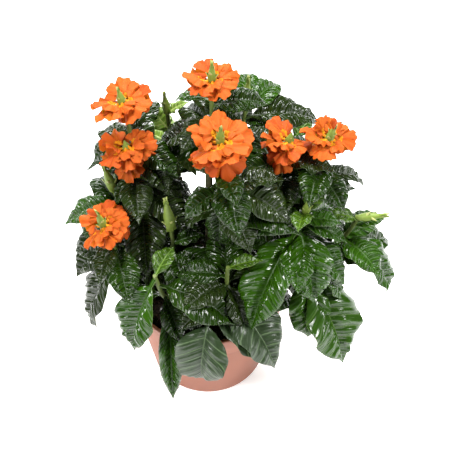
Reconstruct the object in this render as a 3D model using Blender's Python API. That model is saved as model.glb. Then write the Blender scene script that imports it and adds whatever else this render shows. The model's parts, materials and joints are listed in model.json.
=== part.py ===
"""Potted crossandra: a bushy flowering plant in a 12 cm round nursery pot.

All lengths below are millimetres; mesh_object() turns them into metres. +Z is up, the origin is the centre
of the pot's flat underside, and -Y is the front of the plant.
"""

import math
import random

import bmesh
import bpy
import numpy as np
from mathutils import Vector
from mathutils.bvhtree import BVHTree

MM = 0.001
GAP = 0.3
UP = np.array([0.0, 0.0, 1.0])
CURVE_REACH = 0.36

# Pot and soil
POT_HEIGHT = 92.0
POT_RIM_RADIUS = 60.0
POT_BAND_HEIGHT = 20.0
POT_BAND_FOOT_RADIUS = 58.0
POT_BODY_TOP_RADIUS = 55.4
POT_BASE_RADIUS = 44.5
POT_WALL = 1.8
POT_EDGE = 3.0
POT_FACETS = 32
SOIL_TOP = 78.0

# Main stem
TRUNK_HEIGHT = 46.0
TRUNK_LEAN = (2.0, 1.0)
TRUNK_FLARE_RADIUS = 7.5
TRUNK_FOOT_RADIUS = 5.2
TRUNK_TOP_RADIUS = 3.8
TRUNK_SIDES = 8

# Limbs and shoots
BOUGH_FOOT_RADIUS = 2.6
BOUGH_TIP_RADIUS = 2.1
BOUGH_POINTS = 5
BOUGH_SIDES = 6
BOUGH_SHARE_OF_PARENT = 0.85
OUTWARD_PULL = 0.35
STEM_UPTURN = 20.0
STEM_FOOT_RADIUS = 2.0
STEM_TIP_RADIUS = 1.4
STEM_SIDES = 5
SPREAD = 0.72
BARE_SHARE = 0.26

# Leaves
OUTER_LEAF_SEGMENTS = 5
LEAF_SEGMENTS = 4
INNER_LEAF_SEGMENTS = 3
LEAF_WIDTH_SHARE = 0.54
LEAF_THICKNESS = 1.1
PETIOLE_SHARE = 0.10
PETIOLE_HALF_WIDTH = 1.3
INNER_LEAF_SIZE = 0.62
INNER_LEAF_AGE = 0.8
PLACED_LEAF_FOLD = 12.0
YOUNG_LEAF_RISE = 44.0
RISE_LOSS = 74.0
SAME_LEVEL = 16.0
SAME_WAY = 0.75
KEEP_CLEAR = 0.9
OWN_CROWD_START = 0.4

# How much a leaf may change to find its place, in the units of variants()
PLACED_CHANGE = 40
GROWN_CHANGE = 80
INNER_CHANGE = 50

# Flowers
FLORET_THROAT = 6.5
FLORET_LOBES = 4
FLORET_ROLL = 20.0
FLORET_LIFT = 30.0
FLORET_THICKNESS = 1.6
FLORET_NOTCH = 0.76
FAN_ANGLE = 230.0
UPPER_TIER = 5
TOP_TIER_RISE = 3.0
TIER_SLOPES = (8.0, 50.0)
TIER_DROP = 8.5
SPIKE_RADIUS = 4.4
SPIKE_SIDES = 7
LONG_SPIKE = 30.0

SEED = 12


def unit(vector):
    return vector / np.linalg.norm(vector)


def turned(vector, axis, angle):
    """The vector turned about a unit axis by an angle in degrees."""
    a = math.radians(angle)
    return (
        vector * math.cos(a)
        + np.cross(axis, vector) * math.sin(a)
        + axis * np.dot(axis, vector) * (1 - math.cos(a))
    )


# Meshes are pairs: an array of points in millimetres and a list of faces.


def tube(points, radii, sides, first_way=None, last_way=None):
    """A closed tapering tube round a smooth line of points, cut square to the ways given for its ends."""
    points = np.asarray(points, float)
    tangents = np.gradient(points, axis=0)
    if first_way is not None:
        tangents[0] = first_way
    if last_way is not None:
        tangents[-1] = last_way
    side = unit(np.cross(tangents[0], UP + np.array([0.013, 0.007, 0.0])))
    rings = []
    for point, tangent, radius in zip(points, tangents, radii):
        tangent = unit(tangent)
        side = unit(side - tangent * np.dot(side, tangent))
        across = np.cross(tangent, side)
        angles = np.arange(sides) * 2 * math.pi / sides
        rings.append(point + radius * (np.outer(np.cos(angles), side) + np.outer(np.sin(angles), across)))
    faces = [tuple(range(sides))[::-1]]
    for i in range(len(points) - 1):
        for j in range(sides):
            a, b = i * sides + j, i * sides + (j + 1) % sides
            faces.append((a, b, b + sides, a + sides))
    faces.append(tuple(range((len(points) - 1) * sides, len(points) * sides)))
    return np.vstack(rings), faces


def turned_solid(profile, facets):
    """A closed solid turned about Z from a profile of (radius, height) that starts and ends on the axis."""
    points, faces, rings = [], [], []
    for radius, height in profile:
        if radius == 0:
            rings.append([len(points)])
            points.append((0.0, 0.0, height))
            continue
        rings.append(list(range(len(points), len(points) + facets)))
        for k in range(facets):
            angle = 2 * math.pi * k / facets
            points.append((radius * math.cos(angle), radius * math.sin(angle), height))
    for low, high in zip(rings, rings[1:]):
        for k in range(facets):
            k2 = (k + 1) % facets
            if len(low) == 1:
                faces.append((low[0], high[k2], high[k]))
            elif len(high) == 1:
                faces.append((low[k], low[k2], high[0]))
            else:
                faces.append((low[k], low[k2], high[k2], high[k]))
    return np.array(points), faces


def curve(start, start_way, end, end_way, count):
    """Points along a smooth cubic arc that leaves start along start_way and reaches end along end_way."""
    reach = np.linalg.norm(end - start) * CURVE_REACH
    first, last = start + start_way * reach, end - end_way * reach
    t = np.linspace(0, 1, count)[:, None]
    return (1 - t) ** 3 * start + 3 * t * (1 - t) ** 2 * first + 3 * t**2 * (1 - t) * last + t**3 * end


# The plant's growth rule: where every limb, leaf and floret goes.


class Shoot:
    """One leafy shoot: the bough that carries it, its own stem, its leaves and its flower spike."""

    def __init__(
        self, name, parent, along, tip, leafy, roll, pairs, leaf, florets, head, spike, way=(0, 0, 0)
    ):
        self.name = name
        self.parent = parent
        self.along = along
        self.tip = np.array(tip, float)
        self.leafy = leafy
        self.roll = roll
        self.pairs = pairs
        self.leaf = leaf
        self.florets = florets
        self.head = head
        self.spike = spike
        self.way = np.array(way, float)
        self.leaves = []
        self.fans = []


# Each row: name, the limb it leaves and how far along, where its stem ends, length of leafy stem, turn of its
# top leaf pair, pairs of leaves, longest leaf, number of open florets, reach of its flower head, length of
# its bract spike and, where that isn't the stem's own, the direction of the spike.
SHOOTS = [
    Shoot("centre_flower", "trunk", 1.00, (11, -10, 250), 78, 70, 4, 70, 9, 21, 19),
    Shoot("top_flower", "trunk", 0.90, (5, 48, 249), 64, 0, 3, 70, 5, 19, 20),
    Shoot("top_bud", "top_flower", 0.55, (29, 73, 208), 56, 60, 3, 60, 0, 0, 22),
    Shoot("left_top_flower", "trunk", 0.80, (-57, 46, 230), 60, 5, 3, 66, 5, 21, 17),
    Shoot("left_young", "left_top_flower", 0.55, (-28, 66, 204), 50, 0, 3, 58, 0, 0, 18),
    Shoot("left_flower", "trunk", 0.68, (-54, 24, 208), 56, 50, 3, 66, 8, 20, 11),
    Shoot("left_bud", "trunk", 0.50, (-66, 19, 172), 54, 15, 3, 74, 0, 0, 27),
    Shoot("left_low_flower", "trunk", 0.34, (-70, -18, 174), 58, 60, 2, 76, 6, 18, 21),
    Shoot("middle_bud", "left_front", 0.45, (-24, -12, 166), 56, 40, 4, 68, 0, 0, 38),
    Shoot("left_front", "trunk", 0.46, (-35, -45, 154), 44, 60, 1, 76, 0, 0, 0),
    Shoot("front", "trunk", 0.58, (16, -42, 160), 52, 10, 4, 74, 0, 0, 0),
    Shoot("right_front", "trunk", 0.62, (69, -16, 188), 62, 45, 2, 80, 0, 0, 17),
    Shoot("right_end", "trunk", 0.40, (108, -8, 173), 56, 0, 3, 70, 0, 0, 22, (1.0, -0.1, 0.25)),
    Shoot("right_flower", "trunk", 0.84, (84, 13, 228), 66, 70, 3, 70, 7, 19, 19),
    Shoot("right_inner_flower", "right_flower", 0.50, (57, 12, 227), 56, 20, 3, 64, 9, 19, 13),
    Shoot("back_left", "left_top_flower", 0.35, (-50, 88, 152), 48, 35, 3, 72, 0, 0, 0),
    Shoot("back", "top_flower", 0.35, (0, 104, 158), 50, 15, 3, 74, 0, 0, 0),
    Shoot("back_right", "right_flower", 0.35, (66, 80, 162), 50, 55, 3, 74, 0, 0, 0),
    Shoot("low_left", "trunk", 0.16, (-62, 8, 122), 26, 70, 2, 66, 0, 0, 0),
    Shoot("low_front", "trunk", 0.24, (3, -58, 122), 24, 45, 1, 60, 0, 0, 0),
    Shoot("low_right", "trunk", 0.20, (78, -26, 142), 34, 10, 1, 70, 0, 0, 0),
    Shoot("low_back_right", "trunk", 0.10, (56, 52, 122), 24, 5, 2, 84, 0, 0, 0),
    Shoot("low_back", "trunk", 0.22, (-28, 60, 122), 24, 100, 2, 80, 0, 0, 0),
]

# The leaves that give the plant its outline: shoot, share of its stem, tip, arch in degrees and width over
# length.
PLACED = [
    ("top_flower", 0.78, (-22, 58, 222), 34, 0.40),
    ("top_flower", 0.45, (-32, 48, 186), 30, 0.52),
    ("top_bud", 0.90, (30, 108, 202), 34, 0.52),
    ("top_bud", 0.80, (54, 107, 192), 34, 0.54),
    ("top_bud", 0.76, (86, 76, 180), 32, 0.44),
    ("top_bud", 0.56, (62, 52, 192), 26, 0.52),
    ("top_bud", 0.68, (47, 69, 192), 20, 0.60),
    ("left_young", 0.68, (-42, 72, 204), 8, 0.74),
    ("left_young", 0.72, (-17, 70, 200), 8, 0.78),
    ("left_top_flower", 0.62, (-41, 52, 207), 20, 0.50),
    ("left_top_flower", 0.45, (-90, 36, 176), 16, 0.20),
    ("left_top_flower", 0.20, (-62, 94, 152), 30, 0.50),
    ("left_top_flower", 0.24, (-66, 53, 167), 20, 0.40),
    ("left_flower", 0.42, (-66, 64, 158), 30, 0.50),
    ("left_flower", 0.76, (-68, 36, 196), 22, 0.52),
    ("left_flower", 0.55, (-64, 8, 168), 34, 0.50),
    ("left_flower", 0.30, (-42, -28, 128), 40, 0.46),
    ("left_bud", 0.80, (-104, 12, 141), 20, 0.50),
    ("left_bud", 0.36, (-97, -9, 105), 30, 0.56),
    ("left_low_flower", 0.34, (-84, -25, 62), 30, 0.38),
    ("left_low_flower", 0.25, (-92, 4, 121), 30, 0.50),
    ("left_low_flower", 0.70, (-74, -50, 150), 26, 0.46),
    ("low_left", 0.96, (-70, -12, 96), 26, 0.50),
    ("left_front", 0.92, (-57, -66, 89), 24, 0.48),
    ("left_front", 0.34, (-64, -40, 111), 34, 0.46),
    ("left_front", 0.10, (-25, -77, 43), 34, 0.20),
    ("left_front", 0.70, (24, -56, 118), 30, 0.60),
    ("left_front", 0.30, (-18, -66, 102), 30, 0.50),
    ("low_front", 0.84, (-2, -73, 67), 58, 0.64),
    ("low_front", 0.60, (44, -59, 71), 46, 0.60),
    ("front", 0.60, (20, -62, 108), 40, 0.50),
    ("front", 0.45, (-2, -66, 98), 44, 0.56),
    ("front", 0.30, (-5, 24, 125), 20, 0.60),
    ("front", 0.76, (-22, -34, 136), 26, 0.56),
    ("right_front", 0.88, (40, -14, 184), 34, 0.54),
    ("right_front", 0.86, (95, -20, 180), 34, 0.54),
    ("right_front", 0.78, (5, -12, 167), 24, 0.54),
    ("right_front", 0.72, (28, -58, 112), 36, 0.42),
    ("right_front", 0.74, (76, -50, 130), 40, 0.58),
    ("right_front", 0.60, (99, -38, 134), 34, 0.46),
    ("right_front", 0.80, (100, -22, 162), 30, 0.44),
    ("centre_flower", 0.30, (12, -16, 158), 30, 0.50),
    ("centre_flower", 0.42, (-7, 11, 196), 20, 0.30),
    ("centre_flower", 0.14, (-15, -2, 157), 20, 0.56),
    ("right_flower", 0.42, (119, 33, 173), 42, 0.34),
    ("right_flower", 0.22, (109, 22, 169), 28, 0.36),
    ("right_end", 0.84, (128, -2, 164), 30, 0.58),
    ("right_end", 0.66, (134, -21, 100), 34, 0.40),
    ("right_end", 0.60, (107, 17, 134), 26, 0.50),
    ("right_end", 0.24, (138, 20, 112), 34, 0.56),
    ("low_right", 0.62, (102, -56, 61), 26, 0.55),
    ("low_right", 0.96, (98, -32, 108), 30, 0.50),
    ("low_right", 0.70, (75, -49, 85), 34, 0.56),
    ("low_right", 0.50, (99, -13, 102), 34, 0.44),
]

# The gaps and notches where the background shows through the crown, seen from the photograph's viewpoint: a
# point on each line of sight and the radius that stays clear round it.
VIEWPOINT = np.array([17.0, -559.0, 829.0])
SIGHT_REACH = 170.0
SKY_GAPS = [
    ((-15, 51, 150), 4.0),
    ((-81, 103, 150), 2.5),
    ((-88, 72, 150), 2.5),
    ((-77, 55, 150), 2.5),
    ((105, 67, 150), 3.0),
    ((110, -42, 150), 2.0),
    ((3, 46, 150), 3.6),
    ((-25, 115, 150), 3.0),
    ((-92, 89, 150), 6.0),
    ((-94, 44, 150), 5.0),
    ((-99, -19, 150), 5.0),
    ((-66, -71, 150), 3.5),
    ((-64, -84, 150), 5.0),
    ((57, -100, 150), 5.0),
    ((112, -84, 150), 4.0),
    ((112, -58, 150), 4.0),
    ((108, 22, 150), 3.0),
    ((118, 25, 150), 4.0),
    ((125, 37, 150), 4.0),
]


def trunk_line():
    foot = np.array([0.0, 0.0, SOIL_TOP + GAP])
    top = foot + np.array([*TRUNK_LEAN, TRUNK_HEIGHT])
    return curve(foot, UP, top, unit(top - foot + UP * TRUNK_HEIGHT), 7)


def trunk_radii():
    share = np.linspace(0, 1, 7)
    flare = (TRUNK_FLARE_RADIUS - TRUNK_FOOT_RADIUS) * np.exp(-share * 9)
    return TRUNK_FOOT_RADIUS + (TRUNK_TOP_RADIUS - TRUNK_FOOT_RADIUS) * share + flare


def point_on(line, share):
    """The point and the unit direction at a share of a line's points."""
    place = share * (len(line) - 1)
    i = min(int(place), len(line) - 2)
    return line[i] + (line[i + 1] - line[i]) * (place - i), unit(line[i + 1] - line[i])


def lay_out_limbs():
    """Gives every shoot its bough and its stem, each a line of points with radii."""
    limbs = {"trunk": (trunk_line(), trunk_radii())}
    waiting = list(SHOOTS)
    while waiting:
        shoot = waiting.pop(0)
        if shoot.parent not in limbs:
            waiting.append(shoot)
            continue
        foot = np.array([SPREAD * shoot.tip[0], SPREAD * shoot.tip[1], shoot.tip[2] - shoot.leafy])
        outward = unit(np.array([shoot.tip[0], shoot.tip[1], 1e-6]))
        foot_way = unit((1 - OUTWARD_PULL) * unit(shoot.tip - foot) + OUTWARD_PULL * outward)
        line, radii = limbs[shoot.parent]
        at, way = point_on(line, shoot.along)
        thick = float(np.interp(shoot.along * (len(radii) - 1), range(len(radii)), radii))
        if shoot.along >= 1:
            start, start_way = at + way * GAP, way
        else:
            start_way = foot - at
            start_way = unit(start_way - way * np.dot(start_way, way))
            start = at + start_way * (thick + GAP)
        bough = curve(start, start_way, foot, foot_way, BOUGH_POINTS)
        first = min(BOUGH_FOOT_RADIUS, thick * BOUGH_SHARE_OF_PARENT)
        shoot.bough = (bough, np.linspace(first, BOUGH_TIP_RADIUS, len(bough)))
        shoot.foot_way = foot_way
        shoot.start_way = start_way
        tip_way = unit(shoot.tip - foot + UP * STEM_UPTURN)
        stem = curve(foot + foot_way * GAP, foot_way, shoot.tip, tip_way, 5)
        shoot.stem = (stem, np.linspace(STEM_FOOT_RADIUS, STEM_TIP_RADIUS, len(stem)))
        shoot.way = unit(shoot.way) if shoot.way.any() else tip_way
        limbs[shoot.name] = shoot.bough
    return limbs


def half_width(share, length, width_share):
    """Half the width of a blade at a share of its length: a winged stalk, an oval blade, a drawn-out tip."""
    x = (share - PETIOLE_SHARE) / (1 - PETIOLE_SHARE)
    if x <= 0:
        return PETIOLE_HALF_WIDTH
    # The factor brings the greatest value of the product to 1.
    oval = 3.64 * x**0.8 * (1 - x) ** 1.1
    return max(PETIOLE_HALF_WIDTH * (1 - x), 0.5 * width_share * length * oval)


class Leaf:
    """One blade on an arching midrib from its root to its tip."""

    def __init__(self, root, tip, arch, width_share, twist, fold, segments):
        self.root = root
        self.tip = tip
        self.arch = arch
        self.width_share = width_share
        self.twist = twist
        self.fold = fold
        self.segments = segments
        chord = tip - root
        self.out = unit(np.array([chord[0], chord[1], 1e-6]))
        self.across = np.cross(UP, self.out)

    def changed(self, turn, tilt, size):
        """The same leaf with its tip swung sideways, swung up or brought closer."""
        chord = turned(turned(self.tip - self.root, self.across, -tilt), UP, turn) * size
        shape = (self.arch, self.width_share, self.twist, self.fold, self.segments)
        return Leaf(self.root, self.root + chord, *shape)

    def midrib(self, count):
        chord = unit(self.tip - self.root)
        leaving = turned(chord, self.across, -self.arch)
        arriving = turned(chord, self.across, self.arch)
        return curve(self.root, leaving, self.tip, arriving, count + 1)

    def rows(self, count):
        """Midrib points, side and normal directions and half widths at count + 1 stations."""
        line = self.midrib(count)
        ways = np.gradient(line, axis=0)
        length = np.linalg.norm(np.diff(line, axis=0), axis=1).sum()
        rows = []
        for i, (point, way) in enumerate(zip(line, ways)):
            share = i / count
            side = turned(self.across, unit(way), self.twist * share)
            rows.append((point, side, np.cross(unit(way), side), half_width(share, length, self.width_share)))
        return rows

    def solid(self, thickness=LEAF_THICKNESS, wider=0.0, start=0.0):
        """A closed thin blade, folded along its midrib, from a share of its length to its tip."""
        rows = self.rows(self.segments)[round(start * self.segments) :]
        points, faces = [rows[0][0]], []
        for middle, side, normal, half in rows[1:-1]:
            half += wider
            lift = normal * half * math.sin(math.radians(self.fold))
            points += [
                middle + side * half + lift,
                middle + normal * thickness / 2,
                middle - side * half + lift,
                middle - normal * thickness / 2,
            ]
        points.append(rows[-1][0])
        last = len(points) - 1
        # Upper and lower faces are cut along the same diagonals, so that they never cross in a bent blade.
        for k in range(4):
            k2 = (k + 1) % 4
            faces.append((0, 1 + k2, 1 + k))
            for a in range(1, last - 4, 4):
                b = a + 4
                if k % 2 == 0:
                    faces += [(a + k, a + k2, b + k2), (a + k, b + k2, b + k)]
                else:
                    faces += [(a + k, a + k2, b + k), (a + k2, b + k2, b + k)]
            faces.append((last - 4 + k, last - 4 + k2, last))
        return np.array(points), faces


class Floret:
    """One fan of petal lobes that leans out from the spike, lifted at the back so that all face the front."""

    def __init__(self, axis_point, axis, azimuth, slope, radius):
        side = unit(np.cross(axis, np.array([0.3, 0.9, 0.1])))
        out = turned(side, axis, azimuth)
        fall = math.radians(slope - FLORET_LIFT * (1 + out[1]) / 2)
        self.centre = axis_point + out * FLORET_THROAT
        self.down = unit(out * math.cos(fall) - axis * math.sin(fall))
        self.across = turned(np.cross(axis, out), self.down, FLORET_ROLL)
        self.normal = np.cross(self.down, self.across)
        self.radius = radius

    def solid(self):
        """A flat closed fan: one ring of margin points between an upper and a lower middle point."""
        lobe = FAN_ANGLE / FLORET_LOBES
        points = [
            self.centre - self.down * FLORET_THROAT * 1.1 - self.across * 0.9,
            self.centre - self.down * FLORET_THROAT * 1.1 + self.across * 0.9,
        ]
        for j in reversed(range(FLORET_LOBES)):
            middle = (j - (FLORET_LOBES - 1) / 2) * lobe
            margin = [(self.radius, middle + lobe * 0.3), (self.radius, middle - lobe * 0.3)]
            if j:
                margin.append((self.radius * FLORET_NOTCH, middle - lobe * 0.5))
            for reach, angle in margin:
                a = math.radians(angle)
                flat = self.down * math.cos(a) + self.across * math.sin(a)
                points.append(self.centre + flat * reach - self.normal * reach * 0.08)
        count = len(points)
        lift = self.normal * FLORET_THICKNESS / 2
        points += [self.centre + lift, self.centre - lift]
        faces = []
        for k in range(count):
            k2 = (k + 1) % count
            faces += [(k, k2, count), (k2, k, count + 1)]
        return np.array(points), faces


def spike_solid(shoot):
    """The pointed spike of bracts, as a turned spindle."""
    radii = [SPIKE_RADIUS * share for share in (0.62, 1.0, 0.66, 0.12)]
    line = [shoot.tip + shoot.way * (shoot.spike * share - 1.0) for share in (0.0, 0.28, 0.62, 1.0)]
    return tube(line, radii, SPIKE_SIDES)


def tree_of(mesh):
    points, faces = mesh
    return BVHTree.FromPolygons([Vector(p) for p in points], faces)


class Space:
    """What is already taken, so that no leaf or floret touches another mass or a limb."""

    def __init__(self):
        self.taken = []

    def take(self, owner, mesh, own_mesh=None):
        """Takes a mesh from all other masses, and own_mesh from later leaves of the same mass."""
        points = mesh[0]
        own_tree = tree_of(own_mesh) if own_mesh is not None else None
        self.taken.append((owner, points.min(0) - 1, points.max(0) + 1, tree_of(mesh), own_tree))

    def is_free(self, owner, mesh, own_mesh=None):
        """Whether a mesh clears all other masses, and own_mesh the leaves and florets of its own."""
        low, high = mesh[0].min(0), mesh[0].max(0)
        tree = tree_of(mesh)
        own_tree = tree_of(own_mesh) if own_mesh is not None else None
        for other, other_low, other_high, other_tree, other_own in self.taken:
            if np.any(low > other_high) or np.any(high < other_low):
                continue
            if other != owner:
                if tree.overlap(other_tree):
                    return False
            elif own_tree is not None and other_own is not None and own_tree.overlap(other_own):
                return False
        return True


def variants(most):
    """Turns, tilts and sizes that a leaf tries in order of how much they change it."""
    tries = []
    for size in (1.0, 0.9, 0.8):
        for tilt in (0, 6, -6, 13, -13, 24, -24):
            for turn in (0, 6, -6, 13, -13, 22, -22, 34, -34):
                change = abs(turn) * 0.6 + abs(tilt) + (1 - size) * 120
                if change <= most:
                    tries.append((change, turn, tilt, size))
    return sorted(tries)


def settle(shoot, leaf, space, most):
    """Gives the shoot the leaf in the first variant that finds free space, if there is one."""
    for _, turn, tilt, size in variants(most):
        tried = leaf.changed(turn, tilt, size)
        test = tried.solid(LEAF_THICKNESS + KEEP_CLEAR, KEEP_CLEAR / 2)
        own = tried.solid(LEAF_THICKNESS + KEEP_CLEAR, 0, OWN_CROWD_START)
        if space.is_free(shoot.name, test, own):
            shoot.leaves.append(tried)
            space.take(shoot.name, test, own)
            return


def place_leaves(space):
    """The leaves that give the plant its outline."""
    shoots = {shoot.name: shoot for shoot in SHOOTS}
    for name, share, tip, arch, width_share in PLACED:
        shoot = shoots[name]
        root, _ = point_on(shoot.stem[0], share)
        tip = np.array(tip, float)
        leaf = Leaf(root, tip, arch, width_share, 0.0, PLACED_LEAF_FOLD, OUTER_LEAF_SEGMENTS)
        settle(shoot, leaf, space, PLACED_CHANGE)


def grown_leaf(root, azimuth, length, age, segments, rng):
    """A leaf that leaves its stem at an azimuth; age runs from 0, upright in the bud, to 1, drooping."""
    arch = 10 + 34 * age + rng.uniform(-5, 5)
    rise = math.radians(YOUNG_LEAF_RISE - RISE_LOSS * age + rng.uniform(-8, 8))
    twist = rng.uniform(-16, 16)
    fold = 24 - 20 * age + rng.uniform(-4, 4)
    way = np.array([math.cos(azimuth), math.sin(azimuth), 0.0])
    chord = length * math.sin(math.radians(arch)) / math.radians(arch)
    tip = root + (way * math.cos(rise) + UP * math.sin(rise)) * chord
    return Leaf(root, tip, arch, LEAF_WIDTH_SHARE, twist, fold, segments)


def grow_leaves(shoot, space, rng):
    """Pairs of leaves, each pair at right angles to the next, from the top of the leafy stem down."""
    sizes = (0.62, 0.84, 1.0, 1.0) if shoot.florets else (0.36, 0.66, 0.92, 1.0)
    if shoot.leafy < 36:
        sizes = (0.84, 1.0)
    bare = BARE_SHARE if shoot.florets or shoot.spike > LONG_SPIKE else 0.0
    placed = list(shoot.leaves)
    for k in range(shoot.pairs):
        share = max(0.04, 0.96 - bare - k * (0.92 - bare) / max(shoot.pairs - 0.5, 1))
        root, _ = point_on(shoot.stem[0], share)
        for side in (0, 180):
            azimuth = math.radians(shoot.roll + 90 * k + side + rng.uniform(-9, 9))
            length = shoot.leaf * sizes[k] * rng.uniform(0.93, 1.05)
            leaf = grown_leaf(root, azimuth, length, sizes[k], LEAF_SEGMENTS, rng)
            near = [other for other in placed if abs(other.root[2] - root[2]) < SAME_LEVEL]
            if all(np.dot(other.out, leaf.out) <= SAME_WAY for other in near):
                settle(shoot, leaf, space, GROWN_CHANGE)


def grow_inner_leaves(shoot, space, rng):
    """Smaller leaves between the lower pairs, which close the crown from within."""
    for k in range(shoot.pairs - 1):
        root, _ = point_on(shoot.stem[0], 0.57 - 0.5 * k / shoot.pairs)
        for side in (0, 180):
            azimuth = math.radians(shoot.roll + 90 * k + 45 + side + rng.uniform(-12, 12))
            length = shoot.leaf * INNER_LEAF_SIZE * rng.uniform(0.85, 1.1)
            leaf = grown_leaf(root, azimuth, length, INNER_LEAF_AGE, INNER_LEAF_SEGMENTS, rng)
            settle(shoot, leaf, space, INNER_CHANGE)


def grow_flowers(shoot, space, rng):
    """The florets of an open head, in one or two tiers round the bract spike."""
    upper = min(UPPER_TIER, shoot.florets)
    for j in range(shoot.florets):
        tier = 0 if j < upper else 1
        count = upper if tier == 0 else shoot.florets - upper
        azimuth = shoot.roll + 360 * (j - tier * upper + 0.5 * tier) / count + rng.uniform(-8, 8)
        slope = TIER_SLOPES[tier] + rng.uniform(-8, 8)
        centre = shoot.tip + shoot.way * (TOP_TIER_RISE - TIER_DROP * tier)
        radius = (shoot.head - FLORET_THROAT) * rng.uniform(0.94, 1.06)
        floret = Floret(centre, shoot.way, azimuth, slope, radius)
        if space.is_free(shoot.name, floret.solid()):
            shoot.fans.append(floret)
            space.take(shoot.name, floret.solid(), floret.solid())


def grow():
    """Runs the whole rule."""
    rng = random.Random(SEED)
    limbs = lay_out_limbs()
    space = Space()
    space.take("pot", pot_mesh())
    space.take("soil", soil_mesh())
    for middle, radius in SKY_GAPS:
        sight = unit(np.array(middle) - VIEWPOINT) * SIGHT_REACH
        space.take("sky", tube([middle - sight, middle + sight], [radius, radius], 6))
    line, radii = limbs["trunk"]
    space.take("trunk", tube(line, radii, TRUNK_SIDES))
    for shoot in SHOOTS:
        line, radii = shoot.bough
        clear = radii + KEEP_CLEAR / 2
        space.take("limbs", tube(line, clear, BOUGH_SIDES, shoot.start_way, shoot.foot_way))
        line, radii = shoot.stem
        space.take(shoot.name, tube(line, radii + KEEP_CLEAR / 2, STEM_SIDES))
        if shoot.spike:
            space.take(shoot.name, spike_solid(shoot))
    for shoot in SHOOTS:
        grow_flowers(shoot, space, rng)
    place_leaves(space)
    for shoot in SHOOTS:
        grow_leaves(shoot, space, rng)
    for shoot in SHOOTS:
        grow_inner_leaves(shoot, space, rng)


# The solids.


def mesh_object(name, mesh, material, smooth=False):
    points, faces = mesh
    data = bpy.data.meshes.new(name)
    data.from_pydata([tuple(p * MM) for p in np.asarray(points)], [], faces)
    form = bmesh.new()
    form.from_mesh(data)
    bmesh.ops.recalc_face_normals(form, faces=form.faces)
    form.to_mesh(data)
    form.free()
    if smooth:
        data.shade_smooth()
        data.set_sharp_from_angle(angle=math.radians(40))
    data.materials.append(material)
    obj = bpy.data.objects.new(name, data)
    bpy.context.scene.collection.objects.link(obj)
    return obj


def material(name, colour, roughness):
    made = bpy.data.materials.new(name)
    made.use_nodes = True
    shader = made.node_tree.nodes["Principled BSDF"]
    shader.inputs["Base Color"].default_value = (*colour, 1.0)
    shader.inputs["Roughness"].default_value = roughness
    return made


def inner_radius(height):
    """The pot's inner wall at a height above its floor."""
    share = (height - POT_WALL) / (POT_HEIGHT - POT_BAND_HEIGHT - POT_WALL)
    body = POT_BASE_RADIUS + (POT_BODY_TOP_RADIUS - POT_BASE_RADIUS) * min(share, 1.0)
    if share <= 1:
        return body - POT_WALL
    in_band = (height - POT_HEIGHT + POT_BAND_HEIGHT) / POT_BAND_HEIGHT
    foot = POT_BODY_TOP_RADIUS - POT_WALL
    return foot + (POT_RIM_RADIUS - POT_WALL * 1.6 - foot) * in_band


def pot_mesh():
    """A tapered bowl with a wider band round its top."""
    band_foot = POT_HEIGHT - POT_BAND_HEIGHT
    edge = POT_EDGE
    profile = [
        (0, 0.0),
        (POT_BASE_RADIUS - edge, 0.0),
        (POT_BASE_RADIUS - edge * 0.3, edge * 0.3),
        (POT_BASE_RADIUS, edge),
        (POT_BODY_TOP_RADIUS, band_foot - 0.6),
        (POT_BAND_FOOT_RADIUS, band_foot),
        (POT_RIM_RADIUS, POT_HEIGHT - 1.0),
        (POT_RIM_RADIUS - 1.0, POT_HEIGHT),
        (inner_radius(POT_HEIGHT) + 0.8, POT_HEIGHT),
        (inner_radius(POT_HEIGHT), POT_HEIGHT - 0.8),
        (inner_radius(band_foot), band_foot),
        (inner_radius(POT_WALL), POT_WALL),
        (0, POT_WALL),
    ]
    return turned_solid(profile, POT_FACETS)


def soil_mesh():
    """The potting soil, 0.3 mm inside the wall."""
    band_foot = POT_HEIGHT - POT_BAND_HEIGHT
    floor = POT_WALL + GAP
    profile = [
        (0, floor),
        (inner_radius(POT_WALL) - GAP - 0.5, floor),
        (inner_radius(band_foot) - GAP - 0.2, band_foot),
        (inner_radius(SOIL_TOP) - GAP - 0.5, SOIL_TOP),
        (0, SOIL_TOP),
    ]
    return turned_solid(profile, POT_FACETS)


def fused(name, meshes, finish):
    """One solid from overlapping ones: a Boolean union on a collection, whose pieces are then removed."""
    base = mesh_object(name, meshes[0], finish)
    pieces = bpy.data.collections.new(name + "_pieces")
    bpy.context.scene.collection.children.link(pieces)
    for k, mesh in enumerate(meshes[1:]):
        piece = mesh_object(f"{name}_piece_{k}", mesh, finish)
        bpy.context.scene.collection.objects.unlink(piece)
        pieces.objects.link(piece)
    union = base.modifiers.new("union", "BOOLEAN")
    union.operation = "UNION"
    union.operand_type = "COLLECTION"
    union.collection = pieces
    union.solver = "EXACT"
    graph = bpy.context.evaluated_depsgraph_get()
    joined = bpy.data.meshes.new_from_object(base.evaluated_get(graph))
    base.modifiers.clear()
    base.data = joined
    for piece in list(pieces.objects):
        bpy.data.objects.remove(piece)
    bpy.data.collections.remove(pieces)
    return base


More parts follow.
